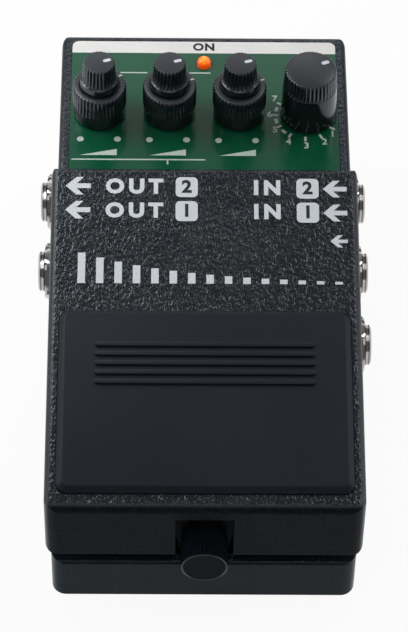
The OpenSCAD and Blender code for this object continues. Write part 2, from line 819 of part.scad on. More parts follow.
module pad_body() {
    intersection() {
        translate([0, 0, -pad_sunk]) linear_extrude(pad_sunk + pad_h) rounded_rect(pad_w, pad_l, pad_corner_r);
        along(-pad_l, pad_l) pad_section(pad_w);
        rotate([0, 0, 90]) along(-pad_w, pad_w) pad_section(pad_l);
    }
}

// Section of the pad with its top edges bevelled
module pad_section(w) {
    polygon([
        [-w / 2, -pad_sunk - cut],
        [w / 2, -pad_sunk - cut],
        [w / 2, pad_h - pad_bevel],
        [w / 2 - pad_bevel, pad_h],
        [-w / 2 + pad_bevel, pad_h],
        [-w / 2, pad_h - pad_bevel],
    ]);
}

module treadle_pad() color("#232730") on_pad() {
    pad_body();
    for (k = [0:pad_ribs - 1])
        translate([0, pad_ribs_y + (k - (pad_ribs - 1) / 2) * pad_rib_pitch, 0])
            linear_extrude(pad_h + pad_rib_h) {
                square([pad_rib_l - pad_rib_w, pad_rib_w], center = true);
                for (x = SIDES) translate([x * (pad_rib_l - pad_rib_w) / 2, 0]) circle(pad_rib_w / 2);
            }
}

module hinge_rod() color("#a9adb3")
    translate([0, hinge_y, hinge_z])
        rod_x(1, -treadle_w / 2 + hinge_rod_inset, treadle_w / 2 - hinge_rod_inset, hinge_r);

// A closed tube of six sides along a path, made of triangles. The path never runs along axis.
module tube(path, r, axis) {
    n = 6;
    last = len(path) - 1;
    ways = [for (i = [0:last]) unit(path[min(i + 1, last)] - path[max(i - 1, 0)])];
    outs = [for (w = ways) unit(cross(w, cross(axis, w)))];
    rings = [
        for (i = [0:last], k = [0:n - 1])
            path[i] + r * (cos(360 * k / n) * outs[i] + sin(360 * k / n) * cross(ways[i], outs[i]))
    ];
    sides = [
        for (i = [0:last - 1], k = [0:n - 1])
            let (a = i * n + k, b = i * n + (k + 1) % n)
            each [[a, a + n, b], [b, a + n, b + n]]
    ];
    ends = [for (k = [1:n - 2]) each [[0, k, k + 1], [last * n, last * n + k + 1, last * n + k]]];
    polyhedron(rings, concat(sides, ends));
}

// Return spring, as one tube swept along its helix
module return_spring() color("#c3c6ca") translate([0, spring_y, 0]) tube(spring_path, spring_wire_r, [0, 0, 1]);

// Thumbscrew

module guide_bush() color("#d8d5c8") translate([0, 0, thumb_z]) difference() {
    rod_y(thumb_back_y, thumb_wall_y, bush_r);
    rod_y(thumb_back_y - cut, thumb_wall_y + cut, thumb_thread_r + run_gap);
}

module thumbscrew() color("#26272a") translate([0, 0, thumb_z]) {
    rod_y(thumb_face_y, thumb_back_y, thumb_r);
    rod_y(thumb_back_y - cut, thread_end_y, thumb_thread_r);
}

// Control panel

module plate_outline(gap) {
    l = housing_l - 2 * plate_end;
    translate([0, housing_y + housing_l / 2])
        rounded_rect(plate_w + 2 * gap, l + 2 * gap, plate_corner_r + gap);
}

module panel_plate() color("#14402c") difference() {
    translate([0, 0, plate_z]) linear_extrude(plate_t) plate_outline(0);
    for (x = knob_x) translate([x, knob_y, 0]) rod_z(roof_z, panel_z + cut, pot_neck_r + pass_gap);
    translate([0, lamp_y, 0]) rod_z(roof_z, panel_z + cut, lamp_r + pass_gap);
}

module lamp_lens() color("#ff7a1a") translate([0, lamp_y, 0]) {
    rod_z(pot_z + lamp_seat, roof_z - lay_gap, lamp_r + lamp_flange);
    rod_z(roof_z - cut, panel_z + lamp_up, lamp_r);
    translate([0, 0, panel_z + lamp_up]) intersection() {
        sphere(lamp_r);
        rod_z(0, lamp_r, lamp_r);
    }
}

module lamp_holder() color("#2b2c2e") translate([0, lamp_y, 0]) difference() {
    rod_z(pot_z, roof_z - lay_gap, lamp_r + lamp_flange + holder_wall);
    rod_z(pot_z + lamp_seat, roof_z, lamp_r + lamp_flange + fix_gap);
}

// Knobs, each drawn on its own axis at its place on the panel

module at_knob(k) {
    translate([knob_x[k], knob_y, 0]) children();
}

// A round knob that tapers from foot_r to top_r and has a rounded top edge
module knob_turned(h, foot_r, top_r) {
    rotate_extrude() rounded_polygon(
        [[0, 0], [foot_r, 0], [top_r, h], [0, h]],
        [0, 0, knob_edge_r, 0]
    );
}

// A short line let into a knob's top, near its edge
module knob_mark(z, top_r) {
    block([-mark_w / 2, top_r * 0.4, z - mark_t], [mark_w / 2, top_r * 0.85, z + cut]);
}

// Room inside a knob for the nut and the neck below it
module nut_room() {
    rod_z(ring_z - cut, panel_z + nut_room_h, nut_room_r);
}

module ring_knob(k) color("#1b1c1e") at_knob(k) difference() {
    translate([0, 0, ring_z]) knob_turned(ring_h, ring_r, ring_top_r);
    nut_room();
    rod_z(ring_z - cut, ring_z + ring_h + cut, ring_shaft_r + fix_gap);
}

module cap_knob(k) color("#1b1c1e") at_knob(k) difference() {
    translate([0, 0, cap_z]) knob_turned(cap_h, cap_r, cap_top_r);
    rod_z(cap_z - cut, cap_z + cap_h - cap_top_t, cap_shaft_r + fix_gap);
    rotate([0, 0, -cap_turn]) knob_mark(cap_z + cap_h, cap_top_r);
}

module ring_shaft(k) color("#b9bcc1") at_knob(k) difference() {
    rod_z(pot_z + pot_step + shaft_end_gap, ring_z + ring_h - ring_shaft_drop, ring_shaft_r);
    rod_z(pot_z, ring_z + ring_h, cap_shaft_r + run_gap);
}

module cap_shaft(k) color("#b9bcc1") at_knob(k)
    rod_z(pot_z + pot_floor + shaft_end_gap, cap_z + cap_h - cap_top_t - shaft_end_gap, cap_shaft_r);

module selector_knob() color("#1b1c1e") at_knob(3) difference() {
    translate([0, 0, ring_z]) knob_turned(selector_h, selector_r, selector_top_r);
    nut_room();
    rod_z(ring_z - cut, ring_z + selector_h - selector_top_t, ring_shaft_r + fix_gap);
    rotate([0, 0, -selector_turn]) knob_mark(ring_z + selector_h, selector_top_r);
}

module selector_shaft() color("#b9bcc1") at_knob(3)
    rod_z(
        pot_z + pot_step + shaft_end_gap,
        ring_z + selector_h - selector_top_t - shaft_end_gap,
        ring_shaft_r
    );

// A body under the roof with a threaded neck up through the panel, and a bore for its shaft
module pot_shell() {
    difference() {
        union() {
            block([-pot_w / 2, -pot_w / 2, pot_z], [pot_w / 2, pot_w / 2, roof_z]);
            rod_z(roof_z - cut, panel_z + neck_h, pot_neck_r);
        }
        rod_z(pot_z + pot_step, panel_z + nut_room_h, ring_shaft_r + run_gap);
    }
}

module pot(k) color("#7d7f84") at_knob(k) difference() {
    pot_shell();
    rod_z(pot_z + pot_floor, panel_z, cap_shaft_r + run_gap);
}

module selector_switch() color("#54565a") at_knob(3) pot_shell();

module pot_nuts() color("#c6c9cd") for (k = [0:3]) at_knob(k)
    translate([0, 0, panel_z]) hex_nut(pot_nut_w, pot_nut_h, pot_neck_r + fix_gap);

// Jacks

// A jack along +Z from the casting's outer face, with its pins towards the main board
module jack_solid(side) {
    pin_l = jack_z - board_top_z;
    difference() {
        union() {
            translate([0, 0, -body_wall - jack_body_l / 2])
                cube([jack_body_h, jack_body_w, jack_body_l], center = true);
            rod_z(-body_wall - cut, jack_neck_l, jack_neck_r);
            for (z = jack_pins) translate([0, 0, -body_wall - z]) rod_x(side, 0, pin_l, pin_r);
        }
        rod_z(jack_neck_l - jack_bore_l, jack_neck_l + cut, jack_bore_r);
    }
}

module jack(side, y) color("#3a3b3e") translate([0, y, jack_z]) jack_side(side) jack_solid(side);

module jack_nuts() color("#cfd2d6") jack_places()
    translate([0, 0, jack_washer_t]) hex_nut(jack_nut_w, jack_nut_h, jack_neck_r + fix_gap);

module jack_washers() color("#d9dbde") jack_places() difference() {
    rod_z(0, jack_washer_t, jack_washer_r);
    rod_z(-cut, jack_washer_t + cut, jack_neck_r + pass_gap);
}

module power_inlet() color("#1a1b1d") translate([-inlet_x, 0, jack_z]) {
    back_y = rear_y - body_wall - inlet_l;
    difference() {
        union() {
            block([-inlet_w / 2, back_y, -inlet_w / 2], [inlet_w / 2, rear_y - body_wall, inlet_w / 2]);
            rod_y(rear_y - body_wall - cut, rear_y + inlet_out, inlet_nose_r());
            for (side = SIDES) translate([side * inlet_pin_x, back_y + inlet_floor, 0])
                rod_z(board_top_z - jack_z, cut - inlet_w / 2, pin_r);
        }
        rod_y(back_y + inlet_floor, rear_y + cut, inlet_bore_r);
    }
    rod_y(back_y + inlet_floor - cut, rear_y - inlet_pin_in, inlet_pin_r);
}

// Boards

module main_board() color("#1f5a3a") difference() {
    board_x = room_w / 2 - board_side_gap;
    block([-board_x, board_y[0], board_z], [board_x, board_y[1], board_top_z]);
    for (x = SIDES, y = standoff_y) translate([x * standoff_x, y, 0])
        rod_z(board_z - cut, board_top_z + cut, board_screw_r + pass_gap);
}

// A chip, of the given size, that lies on the main board
module on_board(x, y, size) {
    translate([x, y, board_top_z + size[2] / 2]) cube(size, center = true);
}

module board_chips() color("#111214") {
    chips_y = (jack_y[0] + jack_y[1]) / 2;
    on_board(0, chips_y, processor);
    for (side = SIDES) {
        on_board(side * converter_x, chips_y - 1.25 * jack_pitch, converter);
        translate([side * can_x, chips_y, 0]) rod_z(board_top_z, board_top_z + chip_h, can_r);
    }
}

module board_standoffs() color("#b3a06a") for (x = SIDES, y = standoff_y) translate([x * standoff_x, y, 0])
    difference() {
        rod_z(floor_z, board_z, standoff_r);
        rod_z(floor_z - cut, board_z + cut, board_screw_r + fix_gap);
    }

module board_screws() color("#a9adb3") for (x = SIDES, y = standoff_y) translate([x * standoff_x, y, 0]) {
    rod_z(floor_z + lay_gap, board_top_z + cut, board_screw_r);
    rod_z(board_top_z, board_top_z + board_screw_head_h, board_screw_head_r);
}

module control_board() color("#1f5a3a")
    block(
        [-room_w / 2 + control_side_gap, control_y[0], control_board_z],
        [room_w / 2 - control_side_gap, control_y[1], pot_z]
    );

module ribbon_headers() color("#d6d2c2") translate([ribbon_x, ribbon_y, 0]) {
    for (z = [board_top_z, control_board_z - header_h]) difference() {
        translate([0, 0, z]) block(
            [-ribbon_w / 2 - header_wall, -header_wall, 0],
            [ribbon_w / 2 + header_wall, header_wall, header_h]
        );
        ribbon_strip(fix_gap);
    }
}

module ribbon_strip(gap) {
    block(
        [-ribbon_w / 2 - gap, -ribbon_t / 2 - gap, board_top_z + header_floor - gap],
        [ribbon_w / 2 + gap, ribbon_t / 2 + gap, control_board_z - header_floor + gap]
    );
}

module board_ribbon() color("#8f9399") translate([ribbon_x, ribbon_y, 0]) ribbon_strip(0);

// Foot switch

module foot_switch() color("#2a2b2d") translate([0, switch_y, 0]) difference() {
    union() {
        block([-switch_w / 2, -switch_w / 2, deck_z], [switch_w / 2, switch_w / 2, deck_z + switch_h]);
        block(
            [-switch_w / 2 - switch_flange_l, -switch_w / 2 + switch_flange_side, deck_z],
            [switch_w / 2 + switch_flange_l, switch_w / 2 - switch_flange_side, deck_z + switch_flange_t]
        );
    }
    rod_z(deck_z + switch_floor, deck_z + switch_h + cut, plunger_r + run_gap);
    for (side = SIDES) translate([side * switch_screw_x, 0, 0])
        rod_z(deck_z - cut, deck_z + switch_h, switch_screw_r + pass_gap);
}

module switch_plunger() color("#b8b4a6") translate([0, switch_y, 0])
    rod_z(plunger_low_z, plunger_top_z, plunger_r);

module switch_screws() color("#a9adb3") for (side = SIDES) translate([side * switch_screw_x, switch_y, 0]) {
    rod_z(deck_z - body_wall + lay_gap, deck_z + switch_flange_t + cut / 2, switch_screw_r);
    rod_z(deck_z + switch_flange_t, deck_z + 2 * switch_flange_t, switch_screw_head_r);
}

// Battery

module battery() color("#55585d")
    block(
        [battery_x, battery_y, bay_floor_z],
        [battery_x + battery_l, battery_y + battery_w, bay_floor_z + battery_h]
    );

module battery_snap() color("#17181a")
    block(
        [snap_x, battery_y + snap_side, bay_floor_z],
        [snap_x + snap_t, battery_y + battery_w - snap_side, bay_floor_z + battery_h - snap_side]
    );

// Two leads from the snap's rear face, through the bay's wall, to the main board
module snap_leads() color("#7a1f1f") {
    for (side = SIDES) translate([lead_x + side * lead_space, 0, 0]) tube([
        [0, battery_y + battery_w - snap_side, lead_z],
        [0, bay_end_y + lead_bend, lead_z],
        [0, bay_end_y + lead_bend, board_top_z],
    ], lead_r, [1, 0, 0]);
}

base_casting();
bottom_plate();
base_mat();
bottom_screws();
treadle();
treadle_pad();
hinge_rod();
return_spring();
guide_bush();
thumbscrew();
panel_plate();
lamp_lens();
lamp_holder();
ring_knob(0);  // ring_knob_left
ring_knob(1);  // ring_knob_middle
ring_knob(2);  // ring_knob_right
ring_shaft(0);  // ring_shaft_left
ring_shaft(1);  // ring_shaft_middle
ring_shaft(2);  // ring_shaft_right
cap_knob(0);  // cap_knob_left
cap_knob(1);  // cap_knob_middle
cap_knob(2);  // cap_knob_right
cap_shaft(0);  // cap_shaft_left
cap_shaft(1);  // cap_shaft_middle
cap_shaft(2);  // cap_shaft_right
selector_knob();
selector_shaft();
selector_switch();
pot(0);  // pot_left
pot(1);  // pot_middle
pot(2);  // pot_right
pot_nuts();
jack(-1, jack_y[0]);  // jack_left_rear
jack(-1, jack_y[1]);  // jack_left_front
jack(1, jack_y[0]);  // jack_right_rear
jack(1, jack_y[1]);  // jack_right_middle
jack(1, jack_y[2]);  // jack_right_front
jack_nuts();
jack_washers();
power_inlet();
main_board();
board_chips();
board_standoffs();
board_screws();
control_board();
board_ribbon();
ribbon_headers();
foot_switch();
switch_plunger();
switch_screws();
battery();
battery_snap();
snap_leads();
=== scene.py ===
"""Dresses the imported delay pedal: finishes, ribbed knobs, printing, hardware, stage and camera."""

import logging
import math
from collections.abc import Callable, Iterable, Sequence
from dataclasses import dataclass, field
from enum import Enum

import bmesh
import bpy
from mathutils import Matrix, Vector


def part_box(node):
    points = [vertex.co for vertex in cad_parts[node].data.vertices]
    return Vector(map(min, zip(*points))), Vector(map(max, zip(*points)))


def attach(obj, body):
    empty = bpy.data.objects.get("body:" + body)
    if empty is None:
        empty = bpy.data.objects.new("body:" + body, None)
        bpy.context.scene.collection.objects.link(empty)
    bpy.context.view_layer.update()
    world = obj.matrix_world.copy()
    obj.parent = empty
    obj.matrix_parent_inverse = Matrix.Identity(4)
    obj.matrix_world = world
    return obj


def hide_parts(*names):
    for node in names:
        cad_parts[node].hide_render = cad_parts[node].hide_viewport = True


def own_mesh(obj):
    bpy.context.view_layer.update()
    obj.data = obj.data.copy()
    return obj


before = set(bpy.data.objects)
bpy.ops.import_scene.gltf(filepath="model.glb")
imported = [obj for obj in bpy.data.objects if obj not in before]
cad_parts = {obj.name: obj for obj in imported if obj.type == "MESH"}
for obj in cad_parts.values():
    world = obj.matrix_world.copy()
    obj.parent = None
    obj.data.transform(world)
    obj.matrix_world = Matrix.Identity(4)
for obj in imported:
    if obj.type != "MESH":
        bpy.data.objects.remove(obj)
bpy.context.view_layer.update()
LOG = logging.getLogger("pedal")

# Metres in a millimetre
MM = 0.001
# A turned shape's end ring below this radius, in millimetres, becomes a pole
POLE = 0.002

Socket = bpy.types.NodeSocket
Material = bpy.types.Material
Colour = tuple[float, float, float]
Triple = tuple[float, float, float]
Point = tuple[float, float]
WHITE: Colour = (1.0, 1.0, 1.0)
# No stretch along any axis
EVEN: Triple = (1.0, 1.0, 1.0)


class Side(Enum):
    """The two long sides of the pedal, by the sign of X."""

    LEFT = -1
    RIGHT = 1


class Axis(Enum):
    """The pedal's axes, by their number."""

    X = 0
    Y = 1
    Z = 2


class Outline(Enum):
    """Outlines that a turned ring can take."""

    ROUND = "round"
    HEX = "hex"
    BOX = "box"
    CROSS = "cross"

    def reach(self, angle: float, aspect: float) -> float:
        """Distance from the middle to the outline, for a half-width of 1.

        Args:
            angle: Direction in radians.
            aspect: A box's half-length along X, or the half-width of a cross's arms.

        Returns:
            The distance.
        """
        if self is Outline.HEX:
            return 1.0 / math.cos((angle + math.pi / 6) % (math.pi / 3) - math.pi / 6)
        if self is Outline.BOX:
            return min(aspect / max(abs(math.cos(angle)), 1e-6), 1.0 / max(abs(math.sin(angle)), 1e-6))
        if self is Outline.CROSS:
            fold = abs((angle + math.pi / 4) % (math.pi / 2) - math.pi / 4)
            return min(1.0 / math.cos(fold), aspect / max(math.sin(fold), 1e-6))
        return 1.0


class Value:
    """A number that a shader works out, with Python's arithmetic."""

    def __init__(self, bench: "Bench", socket: Socket) -> None:
        """Wraps a socket.

        Args:
            bench: The node tree that the socket belongs to.
            socket: The output that gives the number.
        """
        self.bench = bench
        self.socket = socket

    def _math(self, operation: str, first: "Number", second: "Number") -> "Value":
        """Adds a Math node.

        Args:
            operation: The node's operation.
            first: Its first number.
            second: Its second number.

        Returns:
            The result.
        """
        node = self.bench.node("ShaderNodeMath", {"operation": operation}, {0: first, 1: second})
        return Value(self.bench, node.outputs[0])

    def __add__(self, other: "Number") -> "Value":
        """Sum."""
        return self._math("ADD", self, other)

    def __radd__(self, other: "Number") -> "Value":
        """Sum, with the number first."""
        return self._math("ADD", other, self)

    def __sub__(self, other: "Number") -> "Value":
        """Difference."""
        return self._math("SUBTRACT", self, other)

    def __rsub__(self, other: "Number") -> "Value":
        """Difference, with the number first."""
        return self._math("SUBTRACT", other, self)

    def __mul__(self, other: "Number") -> "Value":
        """Product."""
        return self._math("MULTIPLY", self, other)

    def __rmul__(self, other: "Number") -> "Value":
        """Product, with the number first."""
        return self._math("MULTIPLY", other, self)

    def __pow__(self, other: "Number") -> "Value":
        """Power."""
        return self._math("POWER", self, other)

    def max(self, other: "Number") -> "Value":
        """The larger of two numbers."""
        return self._math("MAXIMUM", self, other)

    def wave(self) -> "Value":
        """Sine of the number, in radians."""
        return self._math("SINE", self, 0.0)

    def step(self, low: float, high: float) -> "Value":
        """A smooth rise from 0 at low to 1 at high.

        Args:
            low: Where the rise starts.
            high: Where it ends.

        Returns:
            The rise, between 0 and 1.
        """
        settings = {"interpolation_type": "SMOOTHSTEP", "clamp": True}
        node = self.bench.node("ShaderNodeMapRange", settings, {"Value": self, "From Min": low, "From Max": high})
        return Value(self.bench, node.outputs["Result"])


Number = Value | float
Source = Value | Socket | float | Sequence[float]


class Bench:
    """The node tree of one material, with one way to add a node."""

    def __init__(self, name: str) -> None:
        """Makes an empty material.

        Args:
            name: The material's name.
        """
        self.material = bpy.data.materials.new(name)
        self.material.use_nodes = True
        self.tree = self.material.node_tree
        self.tree.nodes.clear()
        self.output = self.node("ShaderNodeOutputMaterial")

    def node(self, kind: str, settings: dict | None = None, inputs: dict | None = None) -> bpy.types.Node:
        """Adds a node, sets it up and links it.

        Args:
            kind: The node's type.
            settings: Its properties.
            inputs: Values or links of its sockets, by name or number.

        Returns:
            The node.
        """
        node = self.tree.nodes.new(kind)
        for key, value in (settings or {}).items():
            setattr(node, key, value)
        for key, value in (inputs or {}).items():
            self.feed(node.inputs[key], value)
        return node

    def feed(self, socket: Socket, source: Source) -> None:
        """Links a socket, or sets its value where the source is a constant.

        Args:
            socket: The input.
            source: What feeds it.
        """
        if isinstance(source, Value):
            self.tree.links.new(source.socket, socket)
        elif isinstance(source, Socket):
            self.tree.links.new(source, socket)
        elif isinstance(source, (int, float)):
            socket.default_value = source
        else:
            socket.default_value = (*source, 1.0) if socket.type == "RGBA" else tuple(source)

    def surface(self, shader: Socket) -> None:
        """Joins a shader to the output."""
        self.feed(self.output.inputs["Surface"], shader)

    def principled(self, inputs: dict) -> Socket:
        """Adds a surface shader and returns its output."""
        return self.node("ShaderNodeBsdfPrincipled", None, inputs).outputs["BSDF"]

    def place(self, scale: Sequence[float] = EVEN) -> Socket:
        """Object coordinates, stretched along each axis.

        Args:
            scale: The stretch.

        Returns:
            The coordinates.
        """
        coordinates = self.node("ShaderNodeTexCoord").outputs["Object"]
        if tuple(scale) == EVEN:
            return coordinates
        return self.node("ShaderNodeMapping", None, {"Vector": coordinates, "Scale": scale}).outputs["Vector"]

    def axes(self) -> tuple[Value, Value, Value]:
        """Object coordinates as three numbers, in metres."""
        parts = self.node("ShaderNodeSeparateXYZ", None, {0: self.place()}).outputs
        return Value(self, parts[0]), Value(self, parts[1]), Value(self, parts[2])

    def facing(self, axis: Axis) -> Value:
        """How far the surface faces along an axis, from -1 to 1."""
        normal = self.node("ShaderNodeNewGeometry").outputs["Normal"]
        return Value(self, self.node("ShaderNodeSeparateXYZ", None, {0: normal}).outputs[axis.value])

    def blend(self, share: Source, first: Source, second: Source) -> Socket:
        """A shader between two shaders, 0 for the first and 1 for the second."""
        return self.node("ShaderNodeMixShader", None, {0: share, 1: first, 2: second}).outputs[0]

    def noise(self, size_mm: float, detail: float = 2.0, stretch: Sequence[float] = EVEN) -> Value:
        """Soft noise.

        Args:
            size_mm: Size of its blotches in millimetres.
            detail: How much finer noise is added.
            stretch: Scale along each axis.

        Returns:
            The noise, about 0 to 1.
        """
        inputs = {"Vector": self.place(stretch), "Scale": 1000.0 / size_mm, "Detail": detail}
        return Value(self, self.node("ShaderNodeTexNoise", None, inputs).outputs[0])

    def cells(self, size_mm: float) -> Value:
        """Rounded cells.

        Args:
            size_mm: Size of a cell in millimetres.

        Returns:
            0 at a cell's middle, and larger towards its edge.
        """
        inputs = {"Vector": self.place(), "Scale": 1000.0 / size_mm, "Smoothness": 0.5}
        node = self.node("ShaderNodeTexVoronoi", {"feature": "SMOOTH_F1"}, inputs)
        return Value(self, node.outputs["Distance"])

    def mix(self, share: Number, first: Source, second: Source) -> Socket:
        """A colour between two colours.

        Args:
            share: 0 for the first, 1 for the second.
            first: A colour.
            second: A colour.

        Returns:
            The mixed colour.
        """
        settings = {"data_type": "RGBA", "clamp_factor": True}
        return self.node("ShaderNodeMix", settings, {0: share, 6: first, 7: second}).outputs[2]

    def bump(self, height: Value, depth_mm: float) -> Socket:
        """A normal from a height.

        Args:
            height: The height, about 0 to 1.
            depth_mm: What a height of 1 stands for, in millimetres.

        Returns:
            The normal.
        """
        return self.node("ShaderNodeBump", None, {"Height": height, "Distance": depth_mm * MM}).outputs["Normal"]


def tone(colour: Colour, gain: float, lift: float = 0.0) -> Colour:
    """A colour made lighter or darker.

    Args:
        colour: The colour.
        gain: What it is multiplied by.
        lift: What is added after that.

    Returns:
        The new colour.
    """
    red, green, blue = (min(1.0, c * gain + lift) for c in colour)
    return red, green, blue


@dataclass(frozen=True)
class Finish:
    """A surface finish. Each kind has its own way to shade."""

    name: str
    colour: Colour

    def build(self) -> Material:
        """Makes the material."""
        bench = Bench(self.name)
        bench.surface(self.shade(bench))
        return bench.material

    def shade(self, bench: Bench) -> Socket:
        """Adds the finish's nodes and returns their shader."""
        raise NotImplementedError


@dataclass(frozen=True)
class WrinklePaint(Finish):
    """Black wrinkle paint: glinting grains on top, smoother edges and sides, and a darker, duller front as painted
    shade.
    """

    grain_mm: float = 0.9
    depth_mm: float = 0.4
    roughness: float = 0.2
    specular: float = 0.5
    tint: Colour = (0.88, 0.94, 1.0)
    edge_roughness: float = 0.36
    edge_specular: float = 0.36
    edge_depth: float = 0.22
    front_roughness: float = 0.46
    front_depth: float = 0.12
    sheen: float = 0.05
    sheen_tint: Colour = (0.55, 0.85, 1.0)

    def shade(self, bench: Bench) -> Socket:
        """Adds the grains, finer grit and slow changes of gloss, smooths the edges and darkens and dulls the front as
        painted shade.

        Args:
            bench: Where the nodes go.

        Returns:
            The shader.
        """
        grit = bench.noise(self.grain_mm * 0.4, 3.0)
        blotch = bench.noise(8.0, 2.0)
        relief = bench.noise(self.grain_mm, 2.5, (1.2, 0.85, 1.0)) * 0.8 + (1.0 - bench.cells(self.grain_mm)) * 0.2
        colour = bench.mix((grit - 0.4) * blotch, self.colour, tone(self.colour, 2.2, 0.004))
        grained = bench.principled({
            "Base Color": colour,
            "Roughness": self.roughness + 0.2 * (blotch - 0.5) + 0.14 * (grit - 0.5),
            "Normal": bench.bump(relief, self.depth_mm),
            "Specular IOR Level": self.specular,
            "Specular Tint": self.tint,
        })
        # Faces turned to the front take a darker, duller copy of the paint as painted shade, lighter on the relief's
        # crests.
        crests = relief.step(0.42, 0.68) * (0.4 + 0.6 * (grit - 0.5))
        shaded_front = bench.principled({
            "Base Color": bench.mix(crests, tone(self.colour, 0.8), tone(self.colour, 1.7, 0.005)),
            "Roughness": self.front_roughness + 0.12 * (blotch - 0.5),
            "Normal": bench.bump(relief, self.depth_mm * self.front_depth),
            "Specular IOR Level": self.sheen,
            "Specular Tint": self.sheen_tint,
        })
        edge = bench.principled({
            "Base Color": colour,
            "Roughness": self.edge_roughness + 0.14 * (blotch - 0.5),
            "Normal": bench.bump(relief, self.depth_mm * self.edge_depth),
            "Specular IOR Level": self.edge_specular,
            "Specular Tint": self.tint,
        })
        top = bench.facing(Axis.Z).step(0.88, 0.975)
        # Where the surface faces the front, the painted-shade copy takes over.
        front = (0.0 - bench.facing(Axis.Y)).step(0.35, 0.8)
        return bench.blend(front, bench.blend(top, edge, grained), shaded_front)


@dataclass(frozen=True)
class MouldedRubber(Finish):
    """Matte rubber with a fine moulded grain and faint scuffs."""

    grain_mm: float = 0.3
    depth_mm: float = 0.025
    roughness: float = 0.5
    specular: float = 0.26
    tint: Colour = (0.75, 0.87, 1.0)

    def shade(self, bench: Bench) -> Socket:
        """Adds the grain, scuffs and slow changes of gloss.

        Args:
            bench: Where the nodes go.

        Returns:
            The shader.
        """
        scuffs = bench.noise(4.0, 6.0, (1.0, 0.3, 1.0)).step(0.56, 0.8)
        cloud = bench.noise(24.0, 1.0)
        return bench.principled({
            "Base Color": bench.mix(scuffs * 0.3 + (cloud - 0.4) * 0.5, self.colour, tone(self.colour, 1.7, 0.003)),
            "Roughness": self.roughness + 0.1 * (cloud - 0.5) - 0.06 * scuffs,
            "Normal": bench.bump(bench.noise(self.grain_mm, 2.0), self.depth_mm),
            "Specular IOR Level": self.specular,
            "Specular Tint": self.tint,
        })


@dataclass(frozen=True)
class MouldedPlastic(Finish):
    """Moulded plastic with a fine spark-eroded grain."""

    roughness: float = 0.42
    grain_mm: float = 0.22
    depth_mm: float = 0.012
    specular: float = 0.5
    dull_top: float = 0.0
    tint: Colour = (0.86, 0.92, 1.0)

    def shade(self, bench: Bench) -> Socket:
        """Adds the grain and slight changes of colour and gloss.

        Args:
            bench: Where the nodes go.

        Returns:
            The shader.
        """
        grain = bench.noise(self.grain_mm, 2.0)
        cloud = bench.noise(5.0, 3.0)
        return bench.principled({
            "Base Color": bench.mix((cloud - 0.35) * 0.8, self.colour, tone(self.colour, 1.5, 0.003)),
            "Roughness": (self.roughness + 0.14 * (cloud - 0.5) + 0.08 * (grain - 0.5)
                          + self.dull_top * bench.facing(Axis.Z).step(0.7, 0.95)),
            "Normal": bench.bump(grain, self.depth_mm),
            "Specular IOR Level": self.specular,
            "Specular Tint": self.tint,
        })


@dataclass(frozen=True)
class PanelEnamel(Finish):
    """Glossy green enamel on sheet metal, with a faint orange peel."""

    roughness: float = 0.15

    def shade(self, bench: Bench) -> Socket:
        """Adds the peel, fine flakes and a slow change of shade across the plate.

        Args:
            bench: Where the nodes go.

        Returns:
            The shader.
        """
        flakes = bench.noise(0.18, 1.0)
        cloud = bench.noise(18.0, 2.0)
        share = (cloud - 0.3) * 0.7 + (flakes - 0.5) * 0.5
        return bench.principled({
            "Base Color": bench.mix(share, self.colour, tone(self.colour, 1.5, 0.002)),
            "Roughness": self.roughness + 0.06 * (cloud - 0.5),
            "Normal": bench.bump(bench.noise(1.6, 2.0), 0.006),
            "Specular IOR Level": 0.35,
        })


@dataclass(frozen=True)
class BrushedMetal(Finish):
    """Metal or silver paint brushed along one axis."""

    roughness: float = 0.32
    stretch: Triple = (0.03, 1.0, 1.0)
    metal: float = 1.0

    def shade(self, bench: Bench) -> Socket:
        """Adds brush lines and smudges.

        Args:
            bench: Where the nodes go.

        Returns:
            The shader.
        """
        lines = bench.noise(0.16, 3.0, self.stretch)
        smudge = bench.noise(9.0, 3.0)
        return bench.principled({
            "Base Color": bench.mix(lines * 0.6 + (smudge - 0.5) * 0.5, self.colour, tone(self.colour, 0.7)),
            "Metallic": self.metal,
            "Roughness": self.roughness + 0.2 * (lines - 0.5) + 0.12 * (smudge - 0.5),
            "Normal": bench.bump(lines, 0.006),
        })


@dataclass(frozen=True)
class PlatedMetal(Finish):
    """Plated or turned metal with faint tarnish and fine handling marks."""

    roughness: float = 0.2
    depth_mm: float = 0.008

    def shade(self, bench: Bench) -> Socket:
        """Adds tarnish and handling marks.

        Args:
            bench: Where the nodes go.

        Returns:
            The shader.
        """
        tarnish = bench.noise(2.2, 4.0)
        marks = bench.noise(0.25, 2.0)
        return bench.principled({
            "Base Color": bench.mix((tarnish - 0.45) * 1.2, self.colour, tone(self.colour, 0.6)),
            "Metallic": 1.0,
            "Roughness": self.roughness + 0.22 * (tarnish - 0.5) + 0.06 * (marks - 0.5),
            "Normal": bench.bump(marks, self.depth_mm),
        })


@dataclass(frozen=True)
class LampGlow(Finish):
    """A lit amber lens, brightest over the chip behind it and darker towards its rim."""

    bright: Colour
    rim: Colour
    centre: Point
    radius: float

    def shade(self, bench: Bench) -> Socket:
        """Adds the glow, by the distance from the lens's axis, with faint streaks.

        Args:
            bench: Where the nodes go.

        Returns:
            The shader.
        """
        x, y, _ = bench.axes()
        dx, dy = x - self.centre[0], y - self.centre[1]
        away = (dx * dx + dy * dy) ** 0.5 * (1.0 / self.radius)
        spot = 1.0 - (away + 0.7 * (bench.noise(0.8, 2.0) - 0.5)).step(0.1, 0.6)
        glow = bench.mix(away.step(0.62, 1.0), bench.mix(spot, self.colour, self.bright), self.rim)
        return bench.principled({
            "Base Color": self.rim, "Roughness": 0.15 + 0.1 * spot, "Emission Color": glow, "Emission Strength": 1.0,
        })


